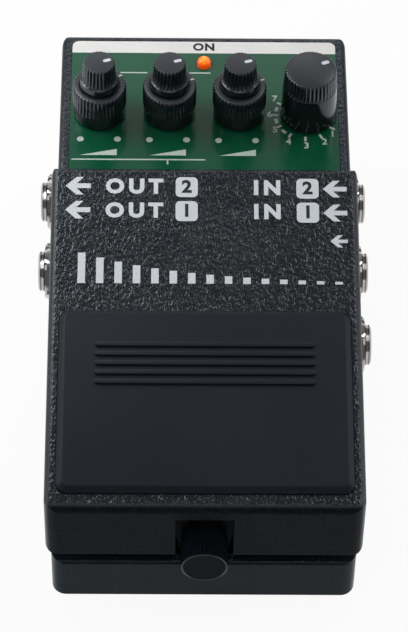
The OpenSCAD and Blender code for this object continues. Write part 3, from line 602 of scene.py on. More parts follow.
@dataclass(frozen=True)
class PrintInk(Finish):
    """Screen-printed ink, slightly uneven."""

    def shade(self, bench: Bench) -> Socket:
        """Adds thin places and a dry surface.

        Args:
            bench: Where the nodes go.

        Returns:
            The shader.
        """
        thin = bench.noise(0.5, 3.0)
        return bench.principled({
            "Base Color": bench.mix((thin - 0.4) * 0.8, self.colour, tone(self.colour, 0.85)),
            "Roughness": 0.5 + 0.12 * (thin - 0.5),
            "Normal": bench.bump(thin, 0.01),
            "Specular IOR Level": 0.25,
        })


@dataclass(frozen=True)
class CircuitBoard(Finish):
    """Solder mask over copper tracks."""

    track: Colour = (0.03, 0.2, 0.09)

    def shade(self, bench: Bench) -> Socket:
        """Adds tracks along both axes.

        Args:
            bench: Where the nodes go.

        Returns:
            The shader.
        """
        x, y, _ = bench.axes()
        lanes = (x * 2400.0).wave().step(0.55, 0.7).max((y * 2100.0).wave().step(0.6, 0.75))
        routed = lanes * bench.noise(6.0, 2.0).step(0.45, 0.55)
        return bench.principled({
            "Base Color": bench.mix(routed, self.colour, self.track),
            "Roughness": 0.35 + 0.1 * bench.noise(0.4, 2.0),
            "Normal": bench.bump(routed, 0.03),
        })


@dataclass(frozen=True)
class BatteryCan(Finish):
    """Printed steel can: a dark sleeve with a paler band at the terminal end."""

    band: Colour
    band_x: float

    def shade(self, bench: Bench) -> Socket:
        """Adds the band and small scuffs.

        Args:
            bench: Where the nodes go.

        Returns:
            The shader.
        """
        x, _, _ = bench.axes()
        scuffs = bench.noise(2.5, 5.0).step(0.6, 0.75)
        sleeve = bench.mix(scuffs * 0.5, self.colour, tone(self.colour, 2.2))
        return bench.principled({
            "Base Color": bench.mix(x.step(self.band_x, self.band_x + 0.0003), sleeve, self.band),
            "Metallic": 0.4 * scuffs,
            "Roughness": 0.34 + 0.15 * scuffs,
            "Normal": bench.bump(bench.noise(0.6, 2.0), 0.006),
        })


@dataclass(frozen=True)
class FloorPaper(Finish):
    """Pale studio paper that stays white to the camera and keeps a soft shadow."""

    glow: float = 0.93

    def shade(self, bench: Bench) -> Socket:
        """Mixes lit paper with an even white for camera, glossy and transmitted rays, clear from below.

        Args:
            bench: Where the nodes go.

        Returns:
            The shader.
        """
        rays = bench.node("ShaderNodeLightPath").outputs
        seen = Value(bench, rays["Is Camera Ray"]).max(Value(bench, rays["Is Glossy Ray"]))
        seen = seen.max(Value(bench, rays["Is Transmission Ray"])) * self.glow
        paper = bench.node("ShaderNodeBsdfDiffuse", None, {"Color": self.colour}).outputs[0]
        white = bench.node("ShaderNodeEmission", None, {"Color": WHITE, "Strength": 1.0}).outputs[0]
        below = bench.node("ShaderNodeBsdfTransparent").outputs[0]
        back = bench.node("ShaderNodeNewGeometry").outputs["Backfacing"]
        return bench.blend(back, bench.blend(seen, paper, white), below)


class Finishes:
    """The pedal's finishes, each built once and shared."""

    def __init__(self) -> None:
        """Builds the materials."""
        lamp, _ = middle("lamp_lens")
        self.base = WrinklePaint("base_wrinkle", (0.0080, 0.0128, 0.0178), 0.8, 0.24, sheen=0.1).build()
        self.treadle = WrinklePaint("treadle_wrinkle", (0.0085, 0.0108, 0.0140), sheen=0.04).build()
        self.pad = MouldedRubber("pad_rubber", (0.0078, 0.0100, 0.0145)).build()
        self.mat = MouldedRubber("mat_rubber", (0.016, 0.016, 0.017), 0.8, 0.1, 0.7).build()
        self.panel = PanelEnamel("panel_green", (0.0024, 0.066, 0.0310)).build()
        self.strip = BrushedMetal("strip_silver", (0.8, 0.8, 0.785), 0.4, metal=0.3).build()
        self.knob = MouldedPlastic("knob_black", (0.0085, 0.0097, 0.0130), 0.2, specular=0.75, dull_top=0.22).build()
        self.gloss = MouldedPlastic("skirt_black", (0.0065, 0.0075, 0.0100), 0.16, depth_mm=0.003).build()
        self.plastic = MouldedPlastic("black_moulding", (0.016, 0.016, 0.017), 0.5).build()
        self.lamp = LampGlow("lamp_amber", (1.0, 0.2, 0.004), (1.0, 0.42, 0.035), (0.42, 0.045, 0.004),
                             (lamp.x * MM, lamp.y * MM), 1.6 * MM).build()
        self.white = PrintInk("print_white", (0.6, 0.635, 0.67)).build()
        self.pale = PrintInk("print_pale", (0.46, 0.54, 0.5)).build()
        self.dark = PrintInk("print_dark", (0.02, 0.022, 0.025)).build()
        self.thumb = MouldedPlastic("thumbscrew_black", (0.0090, 0.0118, 0.0172), 0.34, specular=0.02).build()
        # The thumbscrew face's rim: a lighter metal ring that is a painted highlight.
        self.rim_highlight = PlatedMetal("painted_rim_highlight", (0.045, 0.048, 0.055), 0.3).build()
        self.nickel = PlatedMetal("nickel", (0.46, 0.45, 0.44), 0.14).build()
        self.steel = PlatedMetal("steel", (0.5, 0.5, 0.51), 0.3).build()
        self.zinc = BrushedMetal("zinc_sheet", (0.42, 0.43, 0.44), 0.42).build()
        self.can = BrushedMetal("pot_can", (0.5, 0.51, 0.52), 0.34, (1.0, 0.05, 1.0)).build()
        self.shaft = BrushedMetal("shaft_aluminium", (0.62, 0.63, 0.64), 0.3, (1.0, 1.0, 0.05)).build()
        self.brass = PlatedMetal("brass", (0.55, 0.41, 0.17), 0.24).build()
        self.nylon = MouldedPlastic("nylon", (0.6, 0.57, 0.5), 0.4).build()
        self.ivory = MouldedPlastic("ivory", (0.6, 0.55, 0.44), 0.45).build()
        self.chip = MouldedPlastic("chip", (0.014, 0.014, 0.015), 0.55, 0.15, 0.02).build()
        self.board = CircuitBoard("board_green", (0.012, 0.1, 0.04)).build()
        self.ribbon = MouldedPlastic("ribbon_grey", (0.3, 0.31, 0.33), 0.5).build()
        self.battery = BatteryCan("battery_can", (0.05, 0.055, 0.06), (0.5, 0.36, 0.14), 0.006).build()
        self.red = MouldedPlastic("lead_red", (0.3, 0.02, 0.02), 0.4).build()


@dataclass(frozen=True)
class Ring:
    """One ring of a turned shape, in millimetres.

    Its outline is the given one at half-width r, cut back to a circle of radius cap, with flutes of a depth.
    """

    z: float
    r: float
    flute: float = 0.0
    outline: Outline = Outline.ROUND
    aspect: float = 1.0
    cap: float = math.inf


class Form:
    """A mesh being modelled, in millimetres, and the piece that it becomes."""

    def __init__(self) -> None:
        """Starts an empty mesh."""
        self.bm = bmesh.new()

    def turn(self, rings: Sequence[Ring], segments: int, flutes: int = 0, loop: bool = False) -> "Form":
        """Adds a turned shape, by extruding a circle from ring to ring.

        Args:
            rings: The rings in order. An end ring of no radius becomes a pole.
            segments: Points in a ring.
            flutes: Number of flutes around a fluted ring.
            loop: Whether the last ring is joined to the first.

        Returns:
            The form.
        """
        verts = bmesh.ops.create_circle(self.bm, segments=segments, radius=1.0)["verts"]
        edges = list({edge for vert in verts for edge in vert.link_edges})
        self._shape(verts, rings[0], flutes)
        first, first_edges = verts, edges
        for ring in rings[1:]:
            made = bmesh.ops.extrude_edge_only(self.bm, edges=edges)["geom"]
            verts = [g for g in made if isinstance(g, bmesh.types.BMVert)]
            new = set(verts)
            edges = [g for g in made if isinstance(g, bmesh.types.BMEdge) and set(g.verts) <= new]
            self._shape(verts, ring, flutes)
        if loop:
            bmesh.ops.bridge_loops(self.bm, edges=first_edges + edges)
        for end, ring in ((first, rings[0]), (verts, rings[-1])):
            if ring.r < POLE:
                bmesh.ops.pointmerge(self.bm, verts=end, merge_co=(0.0, 0.0, ring.z))
        return self

    def _shape(self, verts: Iterable[bmesh.types.BMVert], ring: Ring, flutes: int) -> None:
        """Moves a ring's points to its outline and height, with its flutes cut in.

        Args:
            verts: The points, still somewhere along their own directions.
            ring: The ring.
            flutes: Number of flutes.
        """
        for vert in verts:
            angle = math.atan2(vert.co.y, vert.co.x)
            radius = min(ring.r * ring.outline.reach(angle, ring.aspect), ring.cap)
            if ring.flute:
                radius -= ring.flute * (0.5 - 0.5 * math.cos(flutes * angle)) ** 1.6
            radius = max(radius, POLE / 4)
            vert.co = (radius * math.cos(angle), radius * math.sin(angle), ring.z)

    def slab(self, points: Sequence[Point], low: float, high: float) -> None:
        """Adds an upright slab on a flat outline.

        Args:
            points: The outline, anticlockwise.
            low: Height of its foot.
            high: Height of its top.
        """
        self._raise(self.bm.faces.new([self.bm.verts.new((x, y, low)) for x, y in points]), high - low)

    def rounded(self, size: Point, radii: Sequence[float], low: float, high: float, centre: Point = (0.0, 0.0),
                steps: int = 6) -> None:
        """Adds a slab whose outline is a rectangle with rounded corners.

        Args:
            size: Width and length.
            radii: Radius of the two upper and of the two lower corners.
            low: Height of its foot.
            high: Height of its top.
            centre: Middle of the rectangle.
            steps: Segments in a corner.
        """
        verts = bmesh.ops.create_grid(self.bm, x_segments=1, y_segments=1, size=0.5)["verts"]
        face = verts[0].link_faces[0]
        bmesh.ops.scale(self.bm, vec=(size[0], size[1], 1.0), verts=verts)
        bmesh.ops.translate(self.bm, vec=(centre[0], centre[1], low), verts=verts)
        upper = [vert for vert in verts if vert.co.y > centre[1]]
        lower = [vert for vert in verts if vert.co.y < centre[1]]
        for radius, pair in zip(radii, (upper, lower)):
            if radius:
                made = bmesh.ops.bevel(self.bm, geom=pair, offset=radius, segments=steps, profile=0.5,
                                       affect="VERTICES", material=-1, clamp_overlap=True)
                face = made["verts"][0].link_faces[0]
        self._raise(face, high - low)

    def _raise(self, face: bmesh.types.BMFace, height: float) -> None:
        """Turns a flat face into a closed slab of a height.

        Args:
            face: The slab's foot.
            height: Its height.
        """
        made = bmesh.ops.extrude_face_region(self.bm, geom=[face], use_keep_orig=True)["geom"]
        top = [g for g in made if isinstance(g, bmesh.types.BMVert)]
        bmesh.ops.translate(self.bm, verts=top, vec=(0.0, 0.0, height))

    def soften(self, width: float, segments: int, angle: float = 40.0) -> None:
        """Bevels the edges that are sharper than an angle.

        Args:
            width: Width of the bevel.
            segments: Its segments.
            angle: The angle in degrees.
        """
        self.bm.normal_update()
        edges = [e for e in self.bm.edges if len(e.link_faces) == 2 and e.calc_face_angle(0.0) > math.radians(angle)]
        bmesh.ops.bevel(self.bm, geom=edges, offset=width, segments=segments, profile=0.5, affect="EDGES",
                        material=-1, clamp_overlap=True)

    def paint(self, slot: int, chosen: Callable[[Vector], bool]) -> None:
        """Gives a material to the faces whose middle is chosen.

        Args:
            slot: The material's number.
            chosen: Tells whether a middle is chosen.
        """
        for face in self.bm.faces:
            if chosen(face.calc_center_median()):
                face.material_index = slot

    def move(self, matrix: Matrix) -> "Form":
        """Turns or shifts the whole mesh."""
        bmesh.ops.transform(self.bm, matrix=matrix, verts=self.bm.verts[:])
        return self

    def join(self, other: "Form", matrix: Matrix) -> None:
        """Adds another mesh, turned or shifted, and empties that one.

        Args:
            other: The other mesh.
            matrix: Where it goes.
        """
        mesh = bpy.data.meshes.new("joined")
        other.move(matrix).bm.to_mesh(mesh)
        other.bm.free()
        self.bm.from_mesh(mesh)
        bpy.data.meshes.remove(mesh)

    def piece(self, name: str, body: str, slot: str, materials: Sequence[Material],
              nodes: Sequence[str] = (), angle: float = 35.0) -> bpy.types.Object:
        """Turns the mesh into a piece of the scene.

        Args:
            name: The piece's name.
            body: The body that it rides on.
            slot: The record's material slot. Not used.
            materials: Its materials in order.
            nodes: The CAD nodes that it stands for.
            angle: Edges sharper than this, in degrees, stay sharp.

        Returns:
            The object.
        """
        bmesh.ops.remove_doubles(self.bm, verts=self.bm.verts[:], dist=0.0004)
        bmesh.ops.recalc_face_normals(self.bm, faces=self.bm.faces[:])
        bmesh.ops.scale(self.bm, vec=(MM, MM, MM), verts=self.bm.verts[:])
        mesh = bpy.data.meshes.new(name)
        self.bm.to_mesh(mesh)
        self.bm.free()
        mesh.shade_smooth()
        mesh.set_sharp_from_angle(angle=math.radians(angle))
        for material in materials:
            mesh.materials.append(material)
        piece = bpy.data.objects.new(name, mesh)
        bpy.context.scene.collection.objects.link(piece)
        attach(piece, body)
        if nodes:
            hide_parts(*nodes)
        LOG.info("piece %s on %s: %d faces", name, body, len(mesh.polygons))
        return piece


def dress(node: str, material: Material) -> None:
    """Gives a CAD node's object its finish.

    Args:
        node: The node.
        material: The finish.
    """
    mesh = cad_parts[node].data
    mesh.materials.clear()
    mesh.materials.append(material)
    LOG.info("node %s: %s", node, material.name)


def corners(node: str) -> tuple[Vector, Vector]:
    """Lowest and highest corner of a CAD node at rest, in millimetres."""
    low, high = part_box(node)
    return low / MM, high / MM


def middle(node: str) -> tuple[Vector, Vector]:
    """Centre and size of a CAD node at rest, in millimetres."""
    low, high = corners(node)
    return (low + high) / 2, high - low


def standing(node: str) -> tuple[Matrix, float, float]:
    """Place of the middle of a knob's foot, with the knob's radius and height in millimetres."""
    centre, size = middle(node)
    return shift(centre.x, centre.y, centre.z - size.z / 2), size.x / 2, size.z


def shift(x: float, y: float, z: float) -> Matrix:
    """A shift as a matrix."""
    return Matrix.Translation((x, y, z))


def turned(degrees: float, axis: str) -> Matrix:
    """A turn about an axis as a matrix."""
    return Matrix.Rotation(math.radians(degrees), 4, axis)


def pin(low: float, high: float, radius: float = 0.6) -> Form:
    """Models a solder pin along Z, with a tapered lower end.

    Args:
        low: Height of its end.
        high: Height of its root.
        radius: Its radius.

    Returns:
        The pin.
    """
    rings = [Ring(low, 0.0), Ring(low, radius - 0.2), Ring(low + 0.3, radius), Ring(high, radius), Ring(high, 0.0)]
    return Form().turn(rings, 16)


@dataclass
class Part:
    """A group of pieces that takes its materials from the shared finishes."""

    finishes: Finishes


@dataclass
class Print:
    """Printing on one face, drawn in the face's own X and Y with the ink standing on it."""

    ink: float = 0.03
    form: Form = field(default_factory=Form)

    def outline(self, points: Sequence[Point]) -> None:
        """Prints a filled outline."""
        self.form.slab(points, 0.0, self.ink)

    def stroke(self, start: Point, end: Point, width: float) -> None:
        """Prints a straight line.

        Args:
            start: Where it starts.
            end: Where it ends.
            width: Its width.
        """
        (x0, y0), (x1, y1) = start, end
        half = width / 2 / math.hypot(x1 - x0, y1 - y0)
        nx, ny = (y0 - y1) * half, (x1 - x0) * half
        self.outline([(x0 - nx, y0 - ny), (x1 - nx, y1 - ny), (x1 + nx, y1 + ny), (x0 + nx, y0 + ny)])

    def box(self, x0: float, y0: float, x1: float, y1: float, radius: float = 0.0) -> None:
        """Prints a box between two corners.

        Args:
            x0: Left edge.
            y0: Lower edge.
            x1: Right edge.
            y1: Upper edge.
            radius: Radius of its corners.
        """
        self.form.rounded((x1 - x0, y1 - y0), (radius, radius), 0.0, self.ink, ((x0 + x1) / 2, (y0 + y1) / 2))

    def dot(self, x: float, y: float, width: float) -> None:
        """Prints a round dot."""
        half = width / 2
        self.box(x - half, y - half, x + half, y + half, 0.99 * half)

    def arrow(self, tip: Point, scale: float) -> None:
        """Prints a bold arrow that points to -X.

        Args:
            tip: Its tip.
            scale: Its size, 1 for a length of 5.4 mm.
        """
        shape = ((0.0, 0.0), (2.3, -2.2), (3.9, -2.2), (2.35, -0.6), (5.4, -0.6), (5.4, 0.6), (2.35, 0.6),
                 (3.9, 2.2), (2.3, 2.2))
        self.outline([(tip[0] + scale * x, tip[1] + scale * y) for x, y in shape])

    def figure(self, text: str, place: Point, height: float, bold: float, spread: float = 1.0) -> None:
        """Prints a figure or a short word around a point.

        Args:
            text: What is written.
            place: Its middle.
            height: Height of a capital.
            bold: How far the strokes are thickened on each side.
            spread: Spacing of the letters, 1 for the font's own.
        """
        curve = bpy.data.curves.new("text", "FONT")
        curve.body = text
        curve.align_x, curve.align_y = "CENTER", "CENTER"
        curve.size = height * 1.42
        curve.space_character = spread
        curve.offset = bold
        curve.extrude = self.ink / 2
        curve.resolution_u = 3
        holder = bpy.data.objects.new("text", curve)
        bpy.context.scene.collection.objects.link(holder)
        mesh = bpy.data.meshes.new_from_object(holder.evaluated_get(bpy.context.evaluated_depsgraph_get()))
        mesh.transform(shift(place[0], place[1], self.ink / 2))
        self.form.bm.from_mesh(mesh)
        bpy.data.objects.remove(holder)
        bpy.data.curves.remove(curve)
        bpy.data.meshes.remove(mesh)

    def piece(self, name: str, body: str, slot: str, material: Material, place: Matrix) -> None:
        """Puts the printing on its face."""
        self.form.move(place).piece(name, body, slot, [material])


@dataclass
class Housing(Part):
    """Base casting with its bottom plate and mat."""

    def dress(self) -> None:
        """Gives the base's solids their finishes."""
        dress("base_casting", self.finishes.base)
        dress("bottom_plate", self.finishes.zinc)
        dress("base_mat", self.finishes.mat)


@dataclass
class Screws(Part):
    """A set of cross-recess screws that stands for a CAD node, two or four in a rectangle."""

    node: str
    head_r: float
    head_h: float
    shank_r: float
    head_up: bool
    pitch: float = 0.6

    def build(self) -> None:
        """Models the screws, each drawn with its head at the bottom."""
        low, high = corners(self.node)
        form = Form()
        for x in (low.x + self.head_r, high.x - self.head_r):
            for y in sorted({round(low.y + self.head_r, 2), round(high.y - self.head_r, 2)}):
                place = shift(x, y, high.z) @ turned(180.0, "X") if self.head_up else shift(x, y, low.z)
                form.join(self._one(high.z - low.z), place)
        form.piece(f"{self.node}_cross", "base", "screw_steel", [self.finishes.steel], [self.node])

    def _one(self, length: float) -> Form:
        """Models one screw along +Z from its head's face.

        Args:
            length: Its whole length.

        Returns:
            The screw.
        """
        arm, r, h = 0.62 * self.head_r, self.head_r, self.head_h
        rings = [
            Ring(0.62 * h, 0.0), Ring(0.6 * h, 0.45 * arm, 0.0, Outline.CROSS, 0.4),
            Ring(0.0, arm, 0.0, Outline.CROSS, 0.3), Ring(0.0, r - 0.3), Ring(0.08, r - 0.1), Ring(0.25, r),
            Ring(h, r), Ring(h, self.shank_r - 0.2),
        ]
        for k in range(int((length - h - 0.5) / self.pitch)):
            z = h + 0.2 + k * self.pitch
            rings += [Ring(z, self.shank_r - 0.2), Ring(z + 0.5 * self.pitch, self.shank_r)]
        rings += [Ring(length - 0.2, self.shank_r - 0.2), Ring(length, 0.5 * self.shank_r), Ring(length, 0.0)]
        return Form().turn(rings, 48)


@dataclass
class PanelFace(Part):
    """Green panel with its silver strip, printing and lamp."""

    strip_y: float = 56.55
    corner_r: float = 1.5
    margin: float = 0.05
    line_w: float = 0.34
    lines: Sequence[tuple[Point, Point]] = (
        ((-29.1, 24.65), (0.25, 24.7)), ((-8.07, 24.7), (-8.07, 23.3)),
        ((-18.73, 50.5), (-12.68, 50.5)), ((-3.27, 50.5), (1.44, 50.5)),
    )
    wedges: Sequence[float] = (-23.2, -8.05, 7.3)
    wedge_half: float = 4.0
    wedge_y: Point = (25.9, 27.7)
    dot_w: float = 1.5
    dots: Sequence[Point] = ((-27.26, 30.56), (-19.11, 30.59), (-12.06, 30.47), (-3.92, 30.5), (3.13, 30.37),
                             (11.28, 30.4))
    label_y: float = 58.35
    label_h: float = 2.1
    scale_centre: Point = (22.5, 37.75)
    places: int = 11
    place_turn: float = 30.0
    first_tick: float = 122.0
    tick_r: Point = (6.1, 7.45)
    tick_w: float = 0.52
    dash_turns: Sequence[float] = (227.0, 257.0, 287.0)
    dash_r: float = 6.75
    dash_half: float = 0.65
    dash_w: float = 0.75
    number_h: float = 1.7
    numbers: Sequence[Point] = ((28.3, 32.49), (26.47, 30.16), (22.48, 28.99), (18.54, 30.14), (15.63, 33.61),
                                (14.48, 38.14), (15.66, 42.86), (18.78, 45.8), (22.9, 46.7), (27.0, 45.5))

    def dress(self) -> None:
        """Gives the plate and the lamp their finishes."""
        dress("panel_plate", self.finishes.panel)
        dress("lamp_lens", self.finishes.lamp)
        dress("lamp_holder", self.finishes.plastic)

    def build(self) -> None:
        """Prints the strip, the marks and the selector's scale."""
        low, high = corners("panel_plate")
        place = shift(0.0, 0.0, high.z)
        strip = Print(0.02)
        strip_end = high.y - self.margin
        strip.form.rounded((high.x - low.x - 2 * self.margin, strip_end - self.strip_y), (self.corner_r, 0.0), 0.0,
                           strip.ink, (0.0, (strip_end + self.strip_y) / 2))
        strip.piece("panel_strip", "base", "panel_enamel", self.finishes.strip, place)
        marks = Print()
        for x, y in self.dots:
            marks.dot(x, y, self.dot_w)
        foot, peak = self.wedge_y
        for x in self.wedges:
            marks.outline([(x - self.wedge_half, foot), (x + self.wedge_half, foot), (x + self.wedge_half, peak)])
        for start, end in self.lines:
            marks.stroke(start, end, self.line_w)
        self._scale(marks)
        marks.piece("panel_marks", "base", "panel_enamel", self.finishes.pale, place)
        label = Print(0.025)
        label.figure("ON", (0.0, self.label_y), self.label_h, 0.12, 1.1)
        label.piece("strip_label", "base", "panel_enamel", self.finishes.dark, place @ shift(0.0, 0.0, strip.ink))

    def _scale(self, marks: Print) -> None:
        """Prints the selector's scale: a tick for each of its places, numbers and three heavier dashes.

        Args:
            marks: The printing.
        """
        for n in range(self.places):
            angle = self.first_tick + self.place_turn * n
            marks.stroke(self._around(angle, self.tick_r[0]), self._around(angle, self.tick_r[1]), self.tick_w)
        for n, place in enumerate(self.numbers):
            marks.figure(str(n + 1), place, self.number_h, 0.05)
        for angle in self.dash_turns:
            x, y = self._around(angle, self.dash_r)
            along = Vector((self.scale_centre[1] - y, x - self.scale_centre[0])).normalized() * self.dash_half
            marks.stroke((x - along.x, y - along.y), (x + along.x, y + along.y), self.dash_w)

    def _around(self, degrees: float, radius: float) -> Point:
        """Point around the selector, by its angle clockwise from the rear."""
        angle = math.radians(degrees)
        return self.scale_centre[0] + radius * math.sin(angle), self.scale_centre[1] + radius * math.cos(angle)


@dataclass(frozen=True)
class JackLabels:
    """A column of jack labels on the treadle: places along X of its arrow, word, box and figure."""

    word: str
    arrow_x: float
    arrow_lift: float
    arrow_scale: float
    word_x: float
    box_x: Point
    figure_x: float
    drop: float


@dataclass
class Treadle(Part):
    """Foot treadle with its rubber pad, grip ribs and printing."""

    slope: float = 9.71
    rear_y: float = 18.13
    rear_z: float = 48.04
    pad_w: float = 61.4
    pad_l: float = 42.5
    pad_h: float = 1.5
    pad_sunk: float = 0.6
    pad_corner: float = 2.5
    pad_bevel: float = 1.2
    pad_soft: float = 0.28
    pad_middle: float = 57.08
    ribs: int = 5
    rib_l: float = 46.0
    rib_w: float = 1.1
    rib_h: float = 0.5
    rib_pitch: float = 2.2
    rib_y: float = 8.08
    rib_soft: float = 0.16
    rows: Sequence[tuple[str, float, float]] = (("2", 10.4, 15.3), ("1", 4.5, 9.4))
    columns: Sequence[JackLabels] = (
        JackLabels("OUT", -29.95, 0.2, 1.0, -15.2, (-6.28, -1.53), -3.9, 0.0),
        JackLabels("IN", 25.4, -0.25, 0.95, 13.4, (19.7, 24.5), 22.1, 0.2),
    )
    box_r: float = 1.0
    word_h: float = 3.4
    digit_h: float = 3.0
    pulses: int = 15
    pulse_x: float = -27.0
    pulse_y: float = -10.6
    pulse_pitch: float = 3.9
    pulse_w: float = 1.6
    pulse_h: float = 7.4
    pulse_fade: float = 0.84

    def place(self) -> Matrix:
        """From the treadle's top, with Y up the slope from its rear edge, to the pedal."""
        return shift(0.0, self.rear_y, self.rear_z) @ turned(self.slope, "X")

    def along(self, y: float) -> float:
        """Place along the slope of a point at the pedal's y."""
        return (y - self.rear_y) / math.cos(math.radians(self.slope))

    def dress(self) -> None:
        """Gives the treadle and its hinge rod their finishes."""
        dress("treadle", self.finishes.treadle)
        dress("hinge_rod", self.finishes.steel)

    def build(self) -> None:
        """Models the pad with its ribs and prints the treadle's marks."""
        on_pad = self.place() @ shift(0.0, -self.pad_middle, 0.0)
        pad = Form()
        pad.rounded((self.pad_w, self.pad_l), (self.pad_corner, self.pad_corner), -self.pad_sunk, self.pad_h, steps=8)
        rim = [edge for edge in pad.bm.edges if all(vert.co.z > 0 for vert in edge.verts)]
        bmesh.ops.bevel(pad.bm, geom=rim, offset=self.pad_bevel, segments=1, profile=0.5, affect="EDGES", material=-1,
                        clamp_overlap=True)
        pad.soften(self.pad_soft, 3, 25.0)
        pad.move(on_pad).piece("foot_pad", "treadle", "pad_rubber", [self.finishes.pad], ["treadle_pad"])
        ribs = Form()
        end_r = self.rib_w / 2 - 0.01
        for k in range(self.ribs):
            y = self.rib_y + (k - (self.ribs - 1) / 2) * self.rib_pitch
            ribs.rounded((self.rib_l, self.rib_w), (end_r, end_r), self.pad_h - 0.3, self.pad_h + self.rib_h,
                         (0.0, y))
        ribs.soften(self.rib_soft, 2)
        ribs.move(on_pad).piece("pad_ribs", "treadle", "pad_rubber", [self.finishes.pad])
        self._print()

    def _print(self) -> None:
        """Prints the jack arrows, the numbered boxes and a row of fading pulses."""
        marks, digits = Print(), Print(0.02)
        for text, low, high in self.rows:
            for column in self.columns:
                y0, y1 = self.along(low) - column.drop, self.along(high) - column.drop
                y = (y0 + y1) / 2
                marks.arrow((column.arrow_x, y + column.drop + column.arrow_lift), column.arrow_scale)
                marks.figure(column.word, (column.word_x, y), self.word_h, 0.24, 1.4)
                marks.box(column.box_x[0], y0, column.box_x[1], y1, self.box_r)
                digits.figure(text, (column.figure_x, y), self.digit_h, 0.16)
        marks.arrow((26.8, self.along(-0.2)), 0.68)
        foot = self.along(self.pulse_y)
        for k in range(self.pulses):
            x = self.pulse_x + self.pulse_pitch * k
            marks.box(x, foot, x + self.pulse_w, foot + self.pulse_h * self.pulse_fade ** k)
        marks.piece("treadle_marks", "treadle", "treadle_paint", self.finishes.white, self.place())
        digits.piece("box_figures", "treadle", "treadle_paint", self.finishes.dark,
                     self.place() @ shift(0.0, 0.0, marks.ink))


@dataclass
class StackedKnob(Part):
    """A ring knob with a cap knob on top, on their shafts."""

    place: str
    ring_turn: float
    cap_turn: float = 72.0
    ring_ribs: int = 40
    cap_ribs: int = 26
    rib_depth: float = 0.26

    def build(self) -> None:
        """Models both knobs and dresses their shafts and pot."""
        self._ring()
        self._cap()
        dress(f"ring_shaft_{self.place}", self.finishes.shaft)
        dress(f"cap_shaft_{self.place}", self.finishes.shaft)
        dress(f"pot_{self.place}", self.finishes.can)

    def _ring(self) -> None:
        """Models the ring knob: a smooth foot, ribs, a dished top, the room for its nut, and a mark."""
        node, body = f"ring_knob_{self.place}", f"ring_{self.place}"
        foot, r, h = standing(node)
        d = self.rib_depth
        top = r - 0.06
        form = Form().turn([
            Ring(0.0, r - 0.5), Ring(0.2, r - 0.28), Ring(1.2, r - 0.27), Ring(3.0, r - 0.24), Ring(3.4, r - 0.2),
            Ring(3.65, r - 0.08), Ring(3.9, r - 0.02, d), Ring(6.0, r - 0.03, d), Ring(h - 0.6, top, d),
            Ring(h - 0.4, top - 0.1, d * 0.9), Ring(h - 0.25, top - 0.3, d * 0.4), Ring(h - 0.18, top - 0.5),
            Ring(h, top - 1.3), Ring(h - 0.05, top - 1.45), Ring(h - 0.55, top - 1.65), Ring(h - 0.6, 3.3),
            Ring(h - 0.75, 3.03),
            Ring(2.65, 3.03), Ring(2.6, 5.15), Ring(0.1, 5.2),
        ], 6 * self.ring_ribs, self.ring_ribs, loop=True)
        form.move(foot).piece(f"ring_ribbed_{self.place}", body, "knob_black", [self.finishes.knob], [node])
        mark = Form()
        mark.rounded((0.42, 1.05), (0.12, 0.12), h - 0.5, h - 0.05, (0.0, top - 0.78), 3)
        mark.move(foot @ turned(-self.ring_turn, "Z"))
        mark.piece(f"ring_mark_{self.place}", body, "knob_black", [self.finishes.white])

    def _cap(self) -> None:
        """Models the cap knob: a smooth flared foot, ribs, a nearly flat top and a mark."""
        node, body = f"cap_knob_{self.place}", f"cap_{self.place}"
        foot, r, h = standing(node)
        d = self.rib_depth
        top = r - 0.88
        form = Form().turn([
            Ring(h - 1.9, 0.0), Ring(h - 1.8, 2.03), Ring(0.0, 2.03), Ring(0.0, r - 0.25), Ring(0.2, r),
            Ring(0.9, r - 0.06), Ring(1.4, r - 0.2), Ring(1.6, top + 0.38), Ring(1.8, top + 0.35, d),
            Ring(4.0, top + 0.16, d), Ring(h - 0.4, top + 0.03, d), Ring(h - 0.16, top - 0.05, d * 0.9),
            Ring(h - 0.06, top - 0.2, d * 0.5), Ring(h - 0.03, top - 0.45), Ring(h - 0.03, 0.0),
        ], 6 * self.cap_ribs, self.cap_ribs)
        form.move(foot).piece(f"cap_ribbed_{self.place}", body, "knob_black", [self.finishes.knob], [node])
        mark = Form()
        mark.rounded((0.8, 1.75), (0.38, 0.38), h - 0.3, h - 0.005, (0.0, top - 1.6))
        mark.move(foot @ turned(-self.cap_turn, "Z"))
        mark.piece(f"cap_mark_{self.place}", body, "knob_black", [self.finishes.white])


